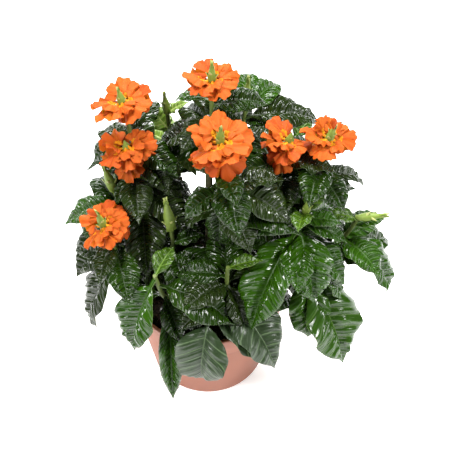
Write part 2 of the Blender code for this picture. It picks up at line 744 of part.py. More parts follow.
def build():
    for obj in list(bpy.data.objects):
        bpy.data.objects.remove(obj)
    pot_plastic = material("pot_plastic", (0.62, 0.26, 0.17), 0.5)
    soil = material("potting_soil", (0.035, 0.024, 0.018), 0.95)
    bark = material("stem_bark", (0.16, 0.17, 0.06), 0.6)
    foliage = material("foliage", (0.03, 0.13, 0.02), 0.3)
    grow()
    mesh_object("pot", pot_mesh(), pot_plastic, smooth=True)
    mesh_object("potting_soil", soil_mesh(), soil)
    line, radii = trunk_line(), trunk_radii()
    mesh_object("main_stem", tube(line, radii, TRUNK_SIDES), bark)
    for shoot in SHOOTS:
        line, radii = shoot.bough
        limb = tube(line, radii, BOUGH_SIDES, shoot.start_way, shoot.foot_way)
        mesh_object(f"bough_{shoot.name}", limb, bark)
        line, radii = shoot.stem
        meshes = [tube(line, radii, STEM_SIDES, shoot.foot_way)]
        if shoot.spike:
            meshes.append(spike_solid(shoot))
        meshes += [leaf.solid() for leaf in shoot.leaves]
        meshes += [floret.solid() for floret in shoot.fans]
        fused(f"shoot_{shoot.name}", meshes, foliage)


build()
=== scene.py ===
"""Potted crossandra: the looks of the plant and its pot, grown by the same rule as its solids.

Lengths are millimetres until mesh_piece() turns them into metres. +Z is up and -Y is the front of the plant.
"""

import copy
import json
import math
import random

import bpy
import numpy as np
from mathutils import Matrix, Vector
from mathutils.bvhtree import BVHTree

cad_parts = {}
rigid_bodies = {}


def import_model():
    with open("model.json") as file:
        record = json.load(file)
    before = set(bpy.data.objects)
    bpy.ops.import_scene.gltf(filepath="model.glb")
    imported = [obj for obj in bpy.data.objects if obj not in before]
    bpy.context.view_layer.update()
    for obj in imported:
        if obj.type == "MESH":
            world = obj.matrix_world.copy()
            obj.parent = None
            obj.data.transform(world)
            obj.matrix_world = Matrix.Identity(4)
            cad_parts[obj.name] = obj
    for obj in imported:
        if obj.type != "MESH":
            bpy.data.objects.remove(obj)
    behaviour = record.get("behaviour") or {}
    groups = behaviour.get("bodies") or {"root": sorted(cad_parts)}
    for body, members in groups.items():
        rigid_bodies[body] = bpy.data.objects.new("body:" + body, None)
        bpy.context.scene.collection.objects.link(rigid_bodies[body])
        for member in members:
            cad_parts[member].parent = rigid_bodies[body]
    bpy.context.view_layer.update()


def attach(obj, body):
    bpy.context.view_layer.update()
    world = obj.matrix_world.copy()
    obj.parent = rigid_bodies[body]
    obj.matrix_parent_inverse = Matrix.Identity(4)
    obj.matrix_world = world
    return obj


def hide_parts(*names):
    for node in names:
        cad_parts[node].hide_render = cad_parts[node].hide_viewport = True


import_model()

MM = 0.001
GAP = 0.3
UP = np.array([0.0, 0.0, 1.0])
CURVE_REACH = 0.36

# Pot and soil
POT_HEIGHT = 92.0
POT_RIM_RADIUS = 60.0
POT_BAND_HEIGHT = 20.0
POT_BAND_FOOT_RADIUS = 58.0
POT_BODY_TOP_RADIUS = 55.4
POT_BASE_RADIUS = 44.5
POT_WALL = 1.8
POT_EDGE = 3.0
POT_FACETS = 32
SOIL_TOP = 78.0

# Main stem
TRUNK_HEIGHT = 46.0
TRUNK_LEAN = (2.0, 1.0)
TRUNK_FLARE_RADIUS = 7.5
TRUNK_FOOT_RADIUS = 5.2
TRUNK_TOP_RADIUS = 3.8
TRUNK_SIDES = 8

# Limbs and shoots
BOUGH_FOOT_RADIUS = 2.6
BOUGH_TIP_RADIUS = 2.1
BOUGH_POINTS = 5
BOUGH_SIDES = 6
BOUGH_SHARE_OF_PARENT = 0.85
OUTWARD_PULL = 0.35
STEM_UPTURN = 20.0
STEM_FOOT_RADIUS = 2.0
STEM_TIP_RADIUS = 1.4
STEM_SIDES = 5
SPREAD = 0.72
BARE_SHARE = 0.26

# Leaves
OUTER_LEAF_SEGMENTS = 5
LEAF_SEGMENTS = 4
INNER_LEAF_SEGMENTS = 3
LEAF_WIDTH_SHARE = 0.54
LEAF_THICKNESS = 1.1
PETIOLE_SHARE = 0.10
PETIOLE_HALF_WIDTH = 1.3
INNER_LEAF_SIZE = 0.62
INNER_LEAF_AGE = 0.8
PLACED_LEAF_FOLD = 12.0
YOUNG_LEAF_RISE = 44.0
RISE_LOSS = 74.0
SAME_LEVEL = 16.0
SAME_WAY = 0.75
KEEP_CLEAR = 0.9
OWN_CROWD_START = 0.4

# How much a leaf may change to find its place, in the units of variants()
PLACED_CHANGE = 40
GROWN_CHANGE = 80
INNER_CHANGE = 50

# Flowers
FLORET_THROAT = 6.5
FLORET_LOBES = 4
FLORET_ROLL = 20.0
FLORET_LIFT = 30.0
FLORET_THICKNESS = 1.6
FLORET_NOTCH = 0.76
FAN_ANGLE = 230.0
UPPER_TIER = 5
TOP_TIER_RISE = 3.0
TIER_SLOPES = (8.0, 50.0)
TIER_DROP = 8.5
SPIKE_RADIUS = 4.4
SPIKE_SIDES = 7
LONG_SPIKE = 30.0

SEED = 12


def unit(vector):
    return vector / np.linalg.norm(vector)


def turned(vector, axis, angle):
    """The vector turned about a unit axis by an angle in degrees."""
    a = math.radians(angle)
    return (
        vector * math.cos(a)
        + np.cross(axis, vector) * math.sin(a)
        + axis * np.dot(axis, vector) * (1 - math.cos(a))
    )


# Meshes are pairs: an array of points in millimetres and a list of faces.


def tube(points, radii, sides, first_way=None, last_way=None):
    """A closed tapering tube round a smooth line of points, cut square to the ways given for its ends."""
    points = np.asarray(points, float)
    tangents = np.gradient(points, axis=0)
    if first_way is not None:
        tangents[0] = first_way
    if last_way is not None:
        tangents[-1] = last_way
    side = unit(np.cross(tangents[0], UP + np.array([0.013, 0.007, 0.0])))
    rings = []
    for point, tangent, radius in zip(points, tangents, radii):
        tangent = unit(tangent)
        side = unit(side - tangent * np.dot(side, tangent))
        across = np.cross(tangent, side)
        angles = np.arange(sides) * 2 * math.pi / sides
        rings.append(point + radius * (np.outer(np.cos(angles), side) + np.outer(np.sin(angles), across)))
    faces = [tuple(range(sides))[::-1]]
    for i in range(len(points) - 1):
        for j in range(sides):
            a, b = i * sides + j, i * sides + (j + 1) % sides
            faces.append((a, b, b + sides, a + sides))
    faces.append(tuple(range((len(points) - 1) * sides, len(points) * sides)))
    return np.vstack(rings), faces


def turned_solid(profile, facets):
    """A closed solid turned about Z from a profile of (radius, height) that starts and ends on the axis."""
    points, faces, rings = [], [], []
    for radius, height in profile:
        if radius == 0:
            rings.append([len(points)])
            points.append((0.0, 0.0, height))
            continue
        rings.append(list(range(len(points), len(points) + facets)))
        for k in range(facets):
            angle = 2 * math.pi * k / facets
            points.append((radius * math.cos(angle), radius * math.sin(angle), height))
    for low, high in zip(rings, rings[1:]):
        for k in range(facets):
            k2 = (k + 1) % facets
            if len(low) == 1:
                faces.append((low[0], high[k2], high[k]))
            elif len(high) == 1:
                faces.append((low[k], low[k2], high[0]))
            else:
                faces.append((low[k], low[k2], high[k2], high[k]))
    return np.array(points), faces


def curve(start, start_way, end, end_way, count):
    """Points along a smooth cubic arc that leaves start along start_way and reaches end along end_way."""
    reach = np.linalg.norm(end - start) * CURVE_REACH
    first, last = start + start_way * reach, end - end_way * reach
    t = np.linspace(0, 1, count)[:, None]
    return (1 - t) ** 3 * start + 3 * t * (1 - t) ** 2 * first + 3 * t**2 * (1 - t) * last + t**3 * end


# The plant's growth rule: where every limb, leaf and floret goes.


class Shoot:
    """One leafy shoot: the bough that carries it, its own stem, its leaves and its flower spike."""

    def __init__(
        self, name, parent, along, tip, leafy, roll, pairs, leaf, florets, head, spike, way=(0, 0, 0)
    ):
        self.name = name
        self.parent = parent
        self.along = along
        self.tip = np.array(tip, float)
        self.leafy = leafy
        self.roll = roll
        self.pairs = pairs
        self.leaf = leaf
        self.florets = florets
        self.head = head
        self.spike = spike
        self.way = np.array(way, float)
        self.leaves = []
        self.fans = []


# Each row: name, the limb it leaves and how far along, where its stem ends, length of leafy stem, turn of its
# top leaf pair, pairs of leaves, longest leaf, number of open florets, reach of its flower head, length of
# its bract spike and, where that isn't the stem's own, the direction of the spike.
SHOOTS = [
    Shoot("centre_flower", "trunk", 1.00, (11, -10, 250), 78, 70, 4, 70, 9, 21, 19),
    Shoot("top_flower", "trunk", 0.90, (5, 48, 249), 64, 0, 3, 70, 5, 19, 20),
    Shoot("top_bud", "top_flower", 0.55, (29, 73, 208), 56, 60, 3, 60, 0, 0, 22),
    Shoot("left_top_flower", "trunk", 0.80, (-57, 46, 230), 60, 5, 3, 66, 5, 21, 17),
    Shoot("left_young", "left_top_flower", 0.55, (-28, 66, 204), 50, 0, 3, 58, 0, 0, 18),
    Shoot("left_flower", "trunk", 0.68, (-54, 24, 208), 56, 50, 3, 66, 8, 20, 11),
    Shoot("left_bud", "trunk", 0.50, (-66, 19, 172), 54, 15, 3, 74, 0, 0, 27),
    Shoot("left_low_flower", "trunk", 0.34, (-70, -18, 174), 58, 60, 2, 76, 6, 18, 21),
    Shoot("middle_bud", "left_front", 0.45, (-24, -12, 166), 56, 40, 4, 68, 0, 0, 38),
    Shoot("left_front", "trunk", 0.46, (-35, -45, 154), 44, 60, 1, 76, 0, 0, 0),
    Shoot("front", "trunk", 0.58, (16, -42, 160), 52, 10, 4, 74, 0, 0, 0),
    Shoot("right_front", "trunk", 0.62, (69, -16, 188), 62, 45, 2, 80, 0, 0, 17),
    Shoot("right_end", "trunk", 0.40, (108, -8, 173), 56, 0, 3, 70, 0, 0, 22, (1.0, -0.1, 0.25)),
    Shoot("right_flower", "trunk", 0.84, (84, 13, 228), 66, 70, 3, 70, 7, 19, 19),
    Shoot("right_inner_flower", "right_flower", 0.50, (57, 12, 227), 56, 20, 3, 64, 9, 19, 13),
    Shoot("back_left", "left_top_flower", 0.35, (-50, 88, 152), 48, 35, 3, 72, 0, 0, 0),
    Shoot("back", "top_flower", 0.35, (0, 104, 158), 50, 15, 3, 74, 0, 0, 0),
    Shoot("back_right", "right_flower", 0.35, (66, 80, 162), 50, 55, 3, 74, 0, 0, 0),
    Shoot("low_left", "trunk", 0.16, (-62, 8, 122), 26, 70, 2, 66, 0, 0, 0),
    Shoot("low_front", "trunk", 0.24, (3, -58, 122), 24, 45, 1, 60, 0, 0, 0),
    Shoot("low_right", "trunk", 0.20, (78, -26, 142), 34, 10, 1, 70, 0, 0, 0),
    Shoot("low_back_right", "trunk", 0.10, (56, 52, 122), 24, 5, 2, 84, 0, 0, 0),
    Shoot("low_back", "trunk", 0.22, (-28, 60, 122), 24, 100, 2, 80, 0, 0, 0),
]

# The leaves that give the plant its outline: shoot, share of its stem, tip, arch in degrees and width over
# length.
PLACED = [
    ("top_flower", 0.78, (-22, 58, 222), 34, 0.40),
    ("top_flower", 0.45, (-32, 48, 186), 30, 0.52),
    ("top_bud", 0.90, (30, 108, 202), 34, 0.52),
    ("top_bud", 0.80, (54, 107, 192), 34, 0.54),
    ("top_bud", 0.76, (86, 76, 180), 32, 0.44),
    ("top_bud", 0.56, (62, 52, 192), 26, 0.52),
    ("top_bud", 0.68, (47, 69, 192), 20, 0.60),
    ("left_young", 0.68, (-42, 72, 204), 8, 0.74),
    ("left_young", 0.72, (-17, 70, 200), 8, 0.78),
    ("left_top_flower", 0.62, (-41, 52, 207), 20, 0.50),
    ("left_top_flower", 0.45, (-90, 36, 176), 16, 0.20),
    ("left_top_flower", 0.20, (-62, 94, 152), 30, 0.50),
    ("left_top_flower", 0.24, (-66, 53, 167), 20, 0.40),
    ("left_flower", 0.42, (-66, 64, 158), 30, 0.50),
    ("left_flower", 0.76, (-68, 36, 196), 22, 0.52),
    ("left_flower", 0.55, (-64, 8, 168), 34, 0.50),
    ("left_flower", 0.30, (-42, -28, 128), 40, 0.46),
    ("left_bud", 0.80, (-104, 12, 141), 20, 0.50),
    ("left_bud", 0.36, (-97, -9, 105), 30, 0.56),
    ("left_low_flower", 0.34, (-84, -25, 62), 30, 0.38),
    ("left_low_flower", 0.25, (-92, 4, 121), 30, 0.50),
    ("left_low_flower", 0.70, (-74, -50, 150), 26, 0.46),
    ("low_left", 0.96, (-70, -12, 96), 26, 0.50),
    ("left_front", 0.92, (-57, -66, 89), 24, 0.48),
    ("left_front", 0.34, (-64, -40, 111), 34, 0.46),
    ("left_front", 0.10, (-25, -77, 43), 34, 0.20),
    ("left_front", 0.70, (24, -56, 118), 30, 0.60),
    ("left_front", 0.30, (-18, -66, 102), 30, 0.50),
    ("low_front", 0.84, (-2, -73, 67), 58, 0.64),
    ("low_front", 0.60, (44, -59, 71), 46, 0.60),
    ("front", 0.60, (20, -62, 108), 40, 0.50),
    ("front", 0.45, (-2, -66, 98), 44, 0.56),
    ("front", 0.30, (-5, 24, 125), 20, 0.60),
    ("front", 0.76, (-22, -34, 136), 26, 0.56),
    ("right_front", 0.88, (40, -14, 184), 34, 0.54),
    ("right_front", 0.86, (95, -20, 180), 34, 0.54),
    ("right_front", 0.78, (5, -12, 167), 24, 0.54),
    ("right_front", 0.72, (28, -58, 112), 36, 0.42),
    ("right_front", 0.74, (76, -50, 130), 40, 0.58),
    ("right_front", 0.60, (99, -38, 134), 34, 0.46),
    ("right_front", 0.80, (100, -22, 162), 30, 0.44),
    ("centre_flower", 0.30, (12, -16, 158), 30, 0.50),
    ("centre_flower", 0.42, (-7, 11, 196), 20, 0.30),
    ("centre_flower", 0.14, (-15, -2, 157), 20, 0.56),
    ("right_flower", 0.42, (119, 33, 173), 42, 0.34),
    ("right_flower", 0.22, (109, 22, 169), 28, 0.36),
    ("right_end", 0.84, (128, -2, 164), 30, 0.58),
    ("right_end", 0.66, (134, -21, 100), 34, 0.40),
    ("right_end", 0.60, (107, 17, 134), 26, 0.50),
    ("right_end", 0.24, (138, 20, 112), 34, 0.56),
    ("low_right", 0.62, (102, -56, 61), 26, 0.55),
    ("low_right", 0.96, (98, -32, 108), 30, 0.50),
    ("low_right", 0.70, (75, -49, 85), 34, 0.56),
    ("low_right", 0.50, (99, -13, 102), 34, 0.44),
]

# The gaps and notches where the background shows through the crown, seen from the photograph's viewpoint: a
# point on each line of sight and the radius that stays clear round it.
VIEWPOINT = np.array([17.0, -559.0, 829.0])
SIGHT_REACH = 170.0
SKY_GAPS = [
    ((-15, 51, 150), 4.0),
    ((-81, 103, 150), 2.5),
    ((-88, 72, 150), 2.5),
    ((-77, 55, 150), 2.5),
    ((105, 67, 150), 3.0),
    ((110, -42, 150), 2.0),
    ((3, 46, 150), 3.6),
    ((-25, 115, 150), 3.0),
    ((-92, 89, 150), 6.0),
    ((-94, 44, 150), 5.0),
    ((-99, -19, 150), 5.0),
    ((-66, -71, 150), 3.5),
    ((-64, -84, 150), 5.0),
    ((57, -100, 150), 5.0),
    ((112, -84, 150), 4.0),
    ((112, -58, 150), 4.0),
    ((108, 22, 150), 3.0),
    ((118, 25, 150), 4.0),
    ((125, 37, 150), 4.0),
]


def trunk_line():
    foot = np.array([0.0, 0.0, SOIL_TOP + GAP])
    top = foot + np.array([*TRUNK_LEAN, TRUNK_HEIGHT])
    return curve(foot, UP, top, unit(top - foot + UP * TRUNK_HEIGHT), 7)


def trunk_radii():
    share = np.linspace(0, 1, 7)
    flare = (TRUNK_FLARE_RADIUS - TRUNK_FOOT_RADIUS) * np.exp(-share * 9)
    return TRUNK_FOOT_RADIUS + (TRUNK_TOP_RADIUS - TRUNK_FOOT_RADIUS) * share + flare


def point_on(line, share):
    """The point and the unit direction at a share of a line's points."""
    place = share * (len(line) - 1)
    i = min(int(place), len(line) - 2)
    return line[i] + (line[i + 1] - line[i]) * (place - i), unit(line[i + 1] - line[i])


def lay_out_limbs():
    """Gives every shoot its bough and its stem, each a line of points with radii."""
    limbs = {"trunk": (trunk_line(), trunk_radii())}
    waiting = list(SHOOTS)
    while waiting:
        shoot = waiting.pop(0)
        if shoot.parent not in limbs:
            waiting.append(shoot)
            continue
        foot = np.array([SPREAD * shoot.tip[0], SPREAD * shoot.tip[1], shoot.tip[2] - shoot.leafy])
        outward = unit(np.array([shoot.tip[0], shoot.tip[1], 1e-6]))
        foot_way = unit((1 - OUTWARD_PULL) * unit(shoot.tip - foot) + OUTWARD_PULL * outward)
        line, radii = limbs[shoot.parent]
        at, way = point_on(line, shoot.along)
        thick = float(np.interp(shoot.along * (len(radii) - 1), range(len(radii)), radii))
        if shoot.along >= 1:
            start, start_way = at + way * GAP, way
        else:
            start_way = foot - at
            start_way = unit(start_way - way * np.dot(start_way, way))
            start = at + start_way * (thick + GAP)
        bough = curve(start, start_way, foot, foot_way, BOUGH_POINTS)
        first = min(BOUGH_FOOT_RADIUS, thick * BOUGH_SHARE_OF_PARENT)
        shoot.bough = (bough, np.linspace(first, BOUGH_TIP_RADIUS, len(bough)))
        shoot.foot_way = foot_way
        shoot.start_way = start_way
        tip_way = unit(shoot.tip - foot + UP * STEM_UPTURN)
        stem = curve(foot + foot_way * GAP, foot_way, shoot.tip, tip_way, 5)
        shoot.stem = (stem, np.linspace(STEM_FOOT_RADIUS, STEM_TIP_RADIUS, len(stem)))
        shoot.way = unit(shoot.way) if shoot.way.any() else tip_way
        limbs[shoot.name] = shoot.bough
    return limbs


def half_width(share, length, width_share):
    """Half the width of a blade at a share of its length: a winged stalk, an oval blade, a drawn-out tip."""
    x = (share - PETIOLE_SHARE) / (1 - PETIOLE_SHARE)
    if x <= 0:
        return PETIOLE_HALF_WIDTH
    # The factor brings the greatest value of the product to 1.
    oval = 3.64 * x**0.8 * (1 - x) ** 1.1
    return max(PETIOLE_HALF_WIDTH * (1 - x), 0.5 * width_share * length * oval)


class Leaf:
    """One blade on an arching midrib from its root to its tip."""

    def __init__(self, root, tip, arch, width_share, twist, fold, segments):
        self.root = root
        self.tip = tip
        self.arch = arch
        self.width_share = width_share
        self.twist = twist
        self.fold = fold
        self.segments = segments
        chord = tip - root
        self.out = unit(np.array([chord[0], chord[1], 1e-6]))
        self.across = np.cross(UP, self.out)

    def changed(self, turn, tilt, size):
        """The same leaf with its tip swung sideways, swung up or brought closer."""
        chord = turned(turned(self.tip - self.root, self.across, -tilt), UP, turn) * size
        shape = (self.arch, self.width_share, self.twist, self.fold, self.segments)
        return Leaf(self.root, self.root + chord, *shape)

    def midrib(self, count):
        chord = unit(self.tip - self.root)
        leaving = turned(chord, self.across, -self.arch)
        arriving = turned(chord, self.across, self.arch)
        return curve(self.root, leaving, self.tip, arriving, count + 1)

    def rows(self, count):
        """Midrib points, side and normal directions and half widths at count + 1 stations."""
        line = self.midrib(count)
        ways = np.gradient(line, axis=0)
        length = np.linalg.norm(np.diff(line, axis=0), axis=1).sum()
        rows = []
        for i, (point, way) in enumerate(zip(line, ways)):
            share = i / count
            side = turned(self.across, unit(way), self.twist * share)
            rows.append((point, side, np.cross(unit(way), side), half_width(share, length, self.width_share)))
        return rows

    def solid(self, thickness=LEAF_THICKNESS, wider=0.0, start=0.0):
        """A closed thin blade, folded along its midrib, from a share of its length to its tip."""
        rows = self.rows(self.segments)[round(start * self.segments) :]
        points, faces = [rows[0][0]], []
        for middle, side, normal, half in rows[1:-1]:
            half += wider
            lift = normal * half * math.sin(math.radians(self.fold))
            points += [
                middle + side * half + lift,
                middle + normal * thickness / 2,
                middle - side * half + lift,
                middle - normal * thickness / 2,
            ]
        points.append(rows[-1][0])
        last = len(points) - 1
        # Upper and lower faces are cut along the same diagonals, so that they never cross in a bent blade.
        for k in range(4):
            k2 = (k + 1) % 4
            faces.append((0, 1 + k2, 1 + k))
            for a in range(1, last - 4, 4):
                b = a + 4
                if k % 2 == 0:
                    faces += [(a + k, a + k2, b + k2), (a + k, b + k2, b + k)]
                else:
                    faces += [(a + k, a + k2, b + k), (a + k2, b + k2, b + k)]
            faces.append((last - 4 + k, last - 4 + k2, last))
        return np.array(points), faces


class Floret:
    """One fan of petal lobes that leans out from the spike, lifted at the back so that all face the front."""

    def __init__(self, axis_point, axis, azimuth, slope, radius):
        side = unit(np.cross(axis, np.array([0.3, 0.9, 0.1])))
        out = turned(side, axis, azimuth)
        fall = math.radians(slope - FLORET_LIFT * (1 + out[1]) / 2)
        self.centre = axis_point + out * FLORET_THROAT
        self.down = unit(out * math.cos(fall) - axis * math.sin(fall))
        self.across = turned(np.cross(axis, out), self.down, FLORET_ROLL)
        self.normal = np.cross(self.down, self.across)
        self.radius = radius

    def solid(self):
        """A flat closed fan: one ring of margin points between an upper and a lower middle point."""
        lobe = FAN_ANGLE / FLORET_LOBES
        points = [
            self.centre - self.down * FLORET_THROAT * 1.1 - self.across * 0.9,
            self.centre - self.down * FLORET_THROAT * 1.1 + self.across * 0.9,
        ]
        for j in reversed(range(FLORET_LOBES)):
            middle = (j - (FLORET_LOBES - 1) / 2) * lobe
            margin = [(self.radius, middle + lobe * 0.3), (self.radius, middle - lobe * 0.3)]
            if j:
                margin.append((self.radius * FLORET_NOTCH, middle - lobe * 0.5))
            for reach, angle in margin:
                a = math.radians(angle)
                flat = self.down * math.cos(a) + self.across * math.sin(a)
                points.append(self.centre + flat * reach - self.normal * reach * 0.08)
        count = len(points)
        lift = self.normal * FLORET_THICKNESS / 2
        points += [self.centre + lift, self.centre - lift]
        faces = []
        for k in range(count):
            k2 = (k + 1) % count
            faces += [(k, k2, count), (k2, k, count + 1)]
        return np.array(points), faces


def spike_solid(shoot):
    """The pointed spike of bracts, as a turned spindle."""
    radii = [SPIKE_RADIUS * share for share in (0.62, 1.0, 0.66, 0.12)]
    line = [shoot.tip + shoot.way * (shoot.spike * share - 1.0) for share in (0.0, 0.28, 0.62, 1.0)]
    return tube(line, radii, SPIKE_SIDES)


def tree_of(mesh):
    points, faces = mesh
    return BVHTree.FromPolygons([Vector(p) for p in points], faces)


class Space:
    """What is already taken, so that no leaf or floret touches another mass or a limb."""

    def __init__(self):
        self.taken = []

    def take(self, owner, mesh, own_mesh=None):
        """Takes a mesh from all other masses, and own_mesh from later leaves of the same mass."""
        points = mesh[0]
        own_tree = tree_of(own_mesh) if own_mesh is not None else None
        self.taken.append((owner, points.min(0) - 1, points.max(0) + 1, tree_of(mesh), own_tree))

    def is_free(self, owner, mesh, own_mesh=None):
        """Whether a mesh clears all other masses, and own_mesh the leaves and florets of its own."""
        low, high = mesh[0].min(0), mesh[0].max(0)
        tree = tree_of(mesh)
        own_tree = tree_of(own_mesh) if own_mesh is not None else None
        for other, other_low, other_high, other_tree, other_own in self.taken:
            if np.any(low > other_high) or np.any(high < other_low):
                continue
            if other != owner:
                if tree.overlap(other_tree):
                    return False
            elif own_tree is not None and other_own is not None and own_tree.overlap(other_own):
                return False
        return True


def variants(most):
    """Turns, tilts and sizes that a leaf tries in order of how much they change it."""
    tries = []
    for size in (1.0, 0.9, 0.8):
        for tilt in (0, 6, -6, 13, -13, 24, -24):
            for turn in (0, 6, -6, 13, -13, 22, -22, 34, -34):
                change = abs(turn) * 0.6 + abs(tilt) + (1 - size) * 120
                if change <= most:
                    tries.append((change, turn, tilt, size))
    return sorted(tries)


def settle(shoot, leaf, space, most):
    """Gives the shoot the leaf in the first variant that finds free space, if there is one."""
    for _, turn, tilt, size in variants(most):
        tried = leaf.changed(turn, tilt, size)
        test = tried.solid(LEAF_THICKNESS + KEEP_CLEAR, KEEP_CLEAR / 2)
        own = tried.solid(LEAF_THICKNESS + KEEP_CLEAR, 0, OWN_CROWD_START)
        if space.is_free(shoot.name, test, own):
            shoot.leaves.append(tried)
            space.take(shoot.name, test, own)
            return


def place_leaves(space):
    """The leaves that give the plant its outline."""
    shoots = {shoot.name: shoot for shoot in SHOOTS}
    for name, share, tip, arch, width_share in PLACED:
        shoot = shoots[name]
        root, _ = point_on(shoot.stem[0], share)
        tip = np.array(tip, float)
        leaf = Leaf(root, tip, arch, width_share, 0.0, PLACED_LEAF_FOLD, OUTER_LEAF_SEGMENTS)
        settle(shoot, leaf, space, PLACED_CHANGE)


def grown_leaf(root, azimuth, length, age, segments, rng):
    """A leaf that leaves its stem at an azimuth; age runs from 0, upright in the bud, to 1, drooping."""
    arch = 10 + 34 * age + rng.uniform(-5, 5)
    rise = math.radians(YOUNG_LEAF_RISE - RISE_LOSS * age + rng.uniform(-8, 8))
    twist = rng.uniform(-16, 16)
    fold = 24 - 20 * age + rng.uniform(-4, 4)
    way = np.array([math.cos(azimuth), math.sin(azimuth), 0.0])
    chord = length * math.sin(math.radians(arch)) / math.radians(arch)
    tip = root + (way * math.cos(rise) + UP * math.sin(rise)) * chord
    return Leaf(root, tip, arch, LEAF_WIDTH_SHARE, twist, fold, segments)


def grow_leaves(shoot, space, rng):
    """Pairs of leaves, each pair at right angles to the next, from the top of the leafy stem down."""
    sizes = (0.62, 0.84, 1.0, 1.0) if shoot.florets else (0.36, 0.66, 0.92, 1.0)
    if shoot.leafy < 36:
        sizes = (0.84, 1.0)
    bare = BARE_SHARE if shoot.florets or shoot.spike > LONG_SPIKE else 0.0
    placed = list(shoot.leaves)
    for k in range(shoot.pairs):
        share = max(0.04, 0.96 - bare - k * (0.92 - bare) / max(shoot.pairs - 0.5, 1))
        root, _ = point_on(shoot.stem[0], share)
        for side in (0, 180):
            azimuth = math.radians(shoot.roll + 90 * k + side + rng.uniform(-9, 9))
            length = shoot.leaf * sizes[k] * rng.uniform(0.93, 1.05)
            leaf = grown_leaf(root, azimuth, length, sizes[k], LEAF_SEGMENTS, rng)
            near = [other for other in placed if abs(other.root[2] - root[2]) < SAME_LEVEL]
            if all(np.dot(other.out, leaf.out) <= SAME_WAY for other in near):
                settle(shoot, leaf, space, GROWN_CHANGE)


def grow_inner_leaves(shoot, space, rng):
    """Smaller leaves between the lower pairs, which close the crown from within."""
    for k in range(shoot.pairs - 1):
        root, _ = point_on(shoot.stem[0], 0.57 - 0.5 * k / shoot.pairs)
        for side in (0, 180):
            azimuth = math.radians(shoot.roll + 90 * k + 45 + side + rng.uniform(-12, 12))
            length = shoot.leaf * INNER_LEAF_SIZE * rng.uniform(0.85, 1.1)
            leaf = grown_leaf(root, azimuth, length, INNER_LEAF_AGE, INNER_LEAF_SEGMENTS, rng)
            settle(shoot, leaf, space, INNER_CHANGE)


def grow_flowers(shoot, space, rng):
    """The florets of an open head, in one or two tiers round the bract spike."""
    upper = min(UPPER_TIER, shoot.florets)
    for j in range(shoot.florets):
        tier = 0 if j < upper else 1
        count = upper if tier == 0 else shoot.florets - upper
        azimuth = shoot.roll + 360 * (j - tier * upper + 0.5 * tier) / count + rng.uniform(-8, 8)
        slope = TIER_SLOPES[tier] + rng.uniform(-8, 8)
        centre = shoot.tip + shoot.way * (TOP_TIER_RISE - TIER_DROP * tier)
        radius = (shoot.head - FLORET_THROAT) * rng.uniform(0.94, 1.06)
        floret = Floret(centre, shoot.way, azimuth, slope, radius)
        if space.is_free(shoot.name, floret.solid()):
            shoot.fans.append(floret)
            space.take(shoot.name, floret.solid(), floret.solid())


def grow():
    """Runs the whole rule."""
    rng = random.Random(SEED)
    limbs = lay_out_limbs()
    space = Space()
    space.take("pot", pot_mesh())
    space.take("soil", soil_mesh())
    for middle, radius in SKY_GAPS:
        sight = unit(np.array(middle) - VIEWPOINT) * SIGHT_REACH
        space.take("sky", tube([middle - sight, middle + sight], [radius, radius], 6))
    line, radii = limbs["trunk"]
    space.take("trunk", tube(line, radii, TRUNK_SIDES))
    for shoot in SHOOTS:
        line, radii = shoot.bough
        clear = radii + KEEP_CLEAR / 2
        space.take("limbs", tube(line, clear, BOUGH_SIDES, shoot.start_way, shoot.foot_way))
        line, radii = shoot.stem
        space.take(shoot.name, tube(line, radii + KEEP_CLEAR / 2, STEM_SIDES))
        if shoot.spike:
            space.take(shoot.name, spike_solid(shoot))
    for shoot in SHOOTS:
        grow_flowers(shoot, space, rng)
    place_leaves(space)
    for shoot in SHOOTS:
        grow_leaves(shoot, space, rng)
    for shoot in SHOOTS:
        grow_inner_leaves(shoot, space, rng)


def inner_radius(height):
    """The pot's inner wall at a height above its floor."""
    share = (height - POT_WALL) / (POT_HEIGHT - POT_BAND_HEIGHT - POT_WALL)
    body = POT_BASE_RADIUS + (POT_BODY_TOP_RADIUS - POT_BASE_RADIUS) * min(share, 1.0)
    if share <= 1:
        return body - POT_WALL
    in_band = (height - POT_HEIGHT + POT_BAND_HEIGHT) / POT_BAND_HEIGHT
    foot = POT_BODY_TOP_RADIUS - POT_WALL
    return foot + (POT_RIM_RADIUS - POT_WALL * 1.6 - foot) * in_band


def pot_mesh():
    """A tapered bowl with a wider band round its top."""
    band_foot = POT_HEIGHT - POT_BAND_HEIGHT
    edge = POT_EDGE
    profile = [
        (0, 0.0),
        (POT_BASE_RADIUS - edge, 0.0),
        (POT_BASE_RADIUS - edge * 0.3, edge * 0.3),
        (POT_BASE_RADIUS, edge),
        (POT_BODY_TOP_RADIUS, band_foot - 0.6),
        (POT_BAND_FOOT_RADIUS, band_foot),
        (POT_RIM_RADIUS, POT_HEIGHT - 1.0),
        (POT_RIM_RADIUS - 1.0, POT_HEIGHT),
        (inner_radius(POT_HEIGHT) + 0.8, POT_HEIGHT),
        (inner_radius(POT_HEIGHT), POT_HEIGHT - 0.8),
        (inner_radius(band_foot), band_foot),
        (inner_radius(POT_WALL), POT_WALL),
        (0, POT_WALL),
    ]
    return turned_solid(profile, POT_FACETS)


def soil_mesh():
    """The potting soil, 0.3 mm inside the wall."""
    band_foot = POT_HEIGHT - POT_BAND_HEIGHT
    floor = POT_WALL + GAP
    profile = [
        (0, floor),
        (inner_radius(POT_WALL) - GAP - 0.5, floor),
        (inner_radius(band_foot) - GAP - 0.2, band_foot),
        (inner_radius(SOIL_TOP) - GAP - 0.5, SOIL_TOP),
        (0, SOIL_TOP),
    ]
    return turned_solid(profile, POT_FACETS)


# The fine surfaces.

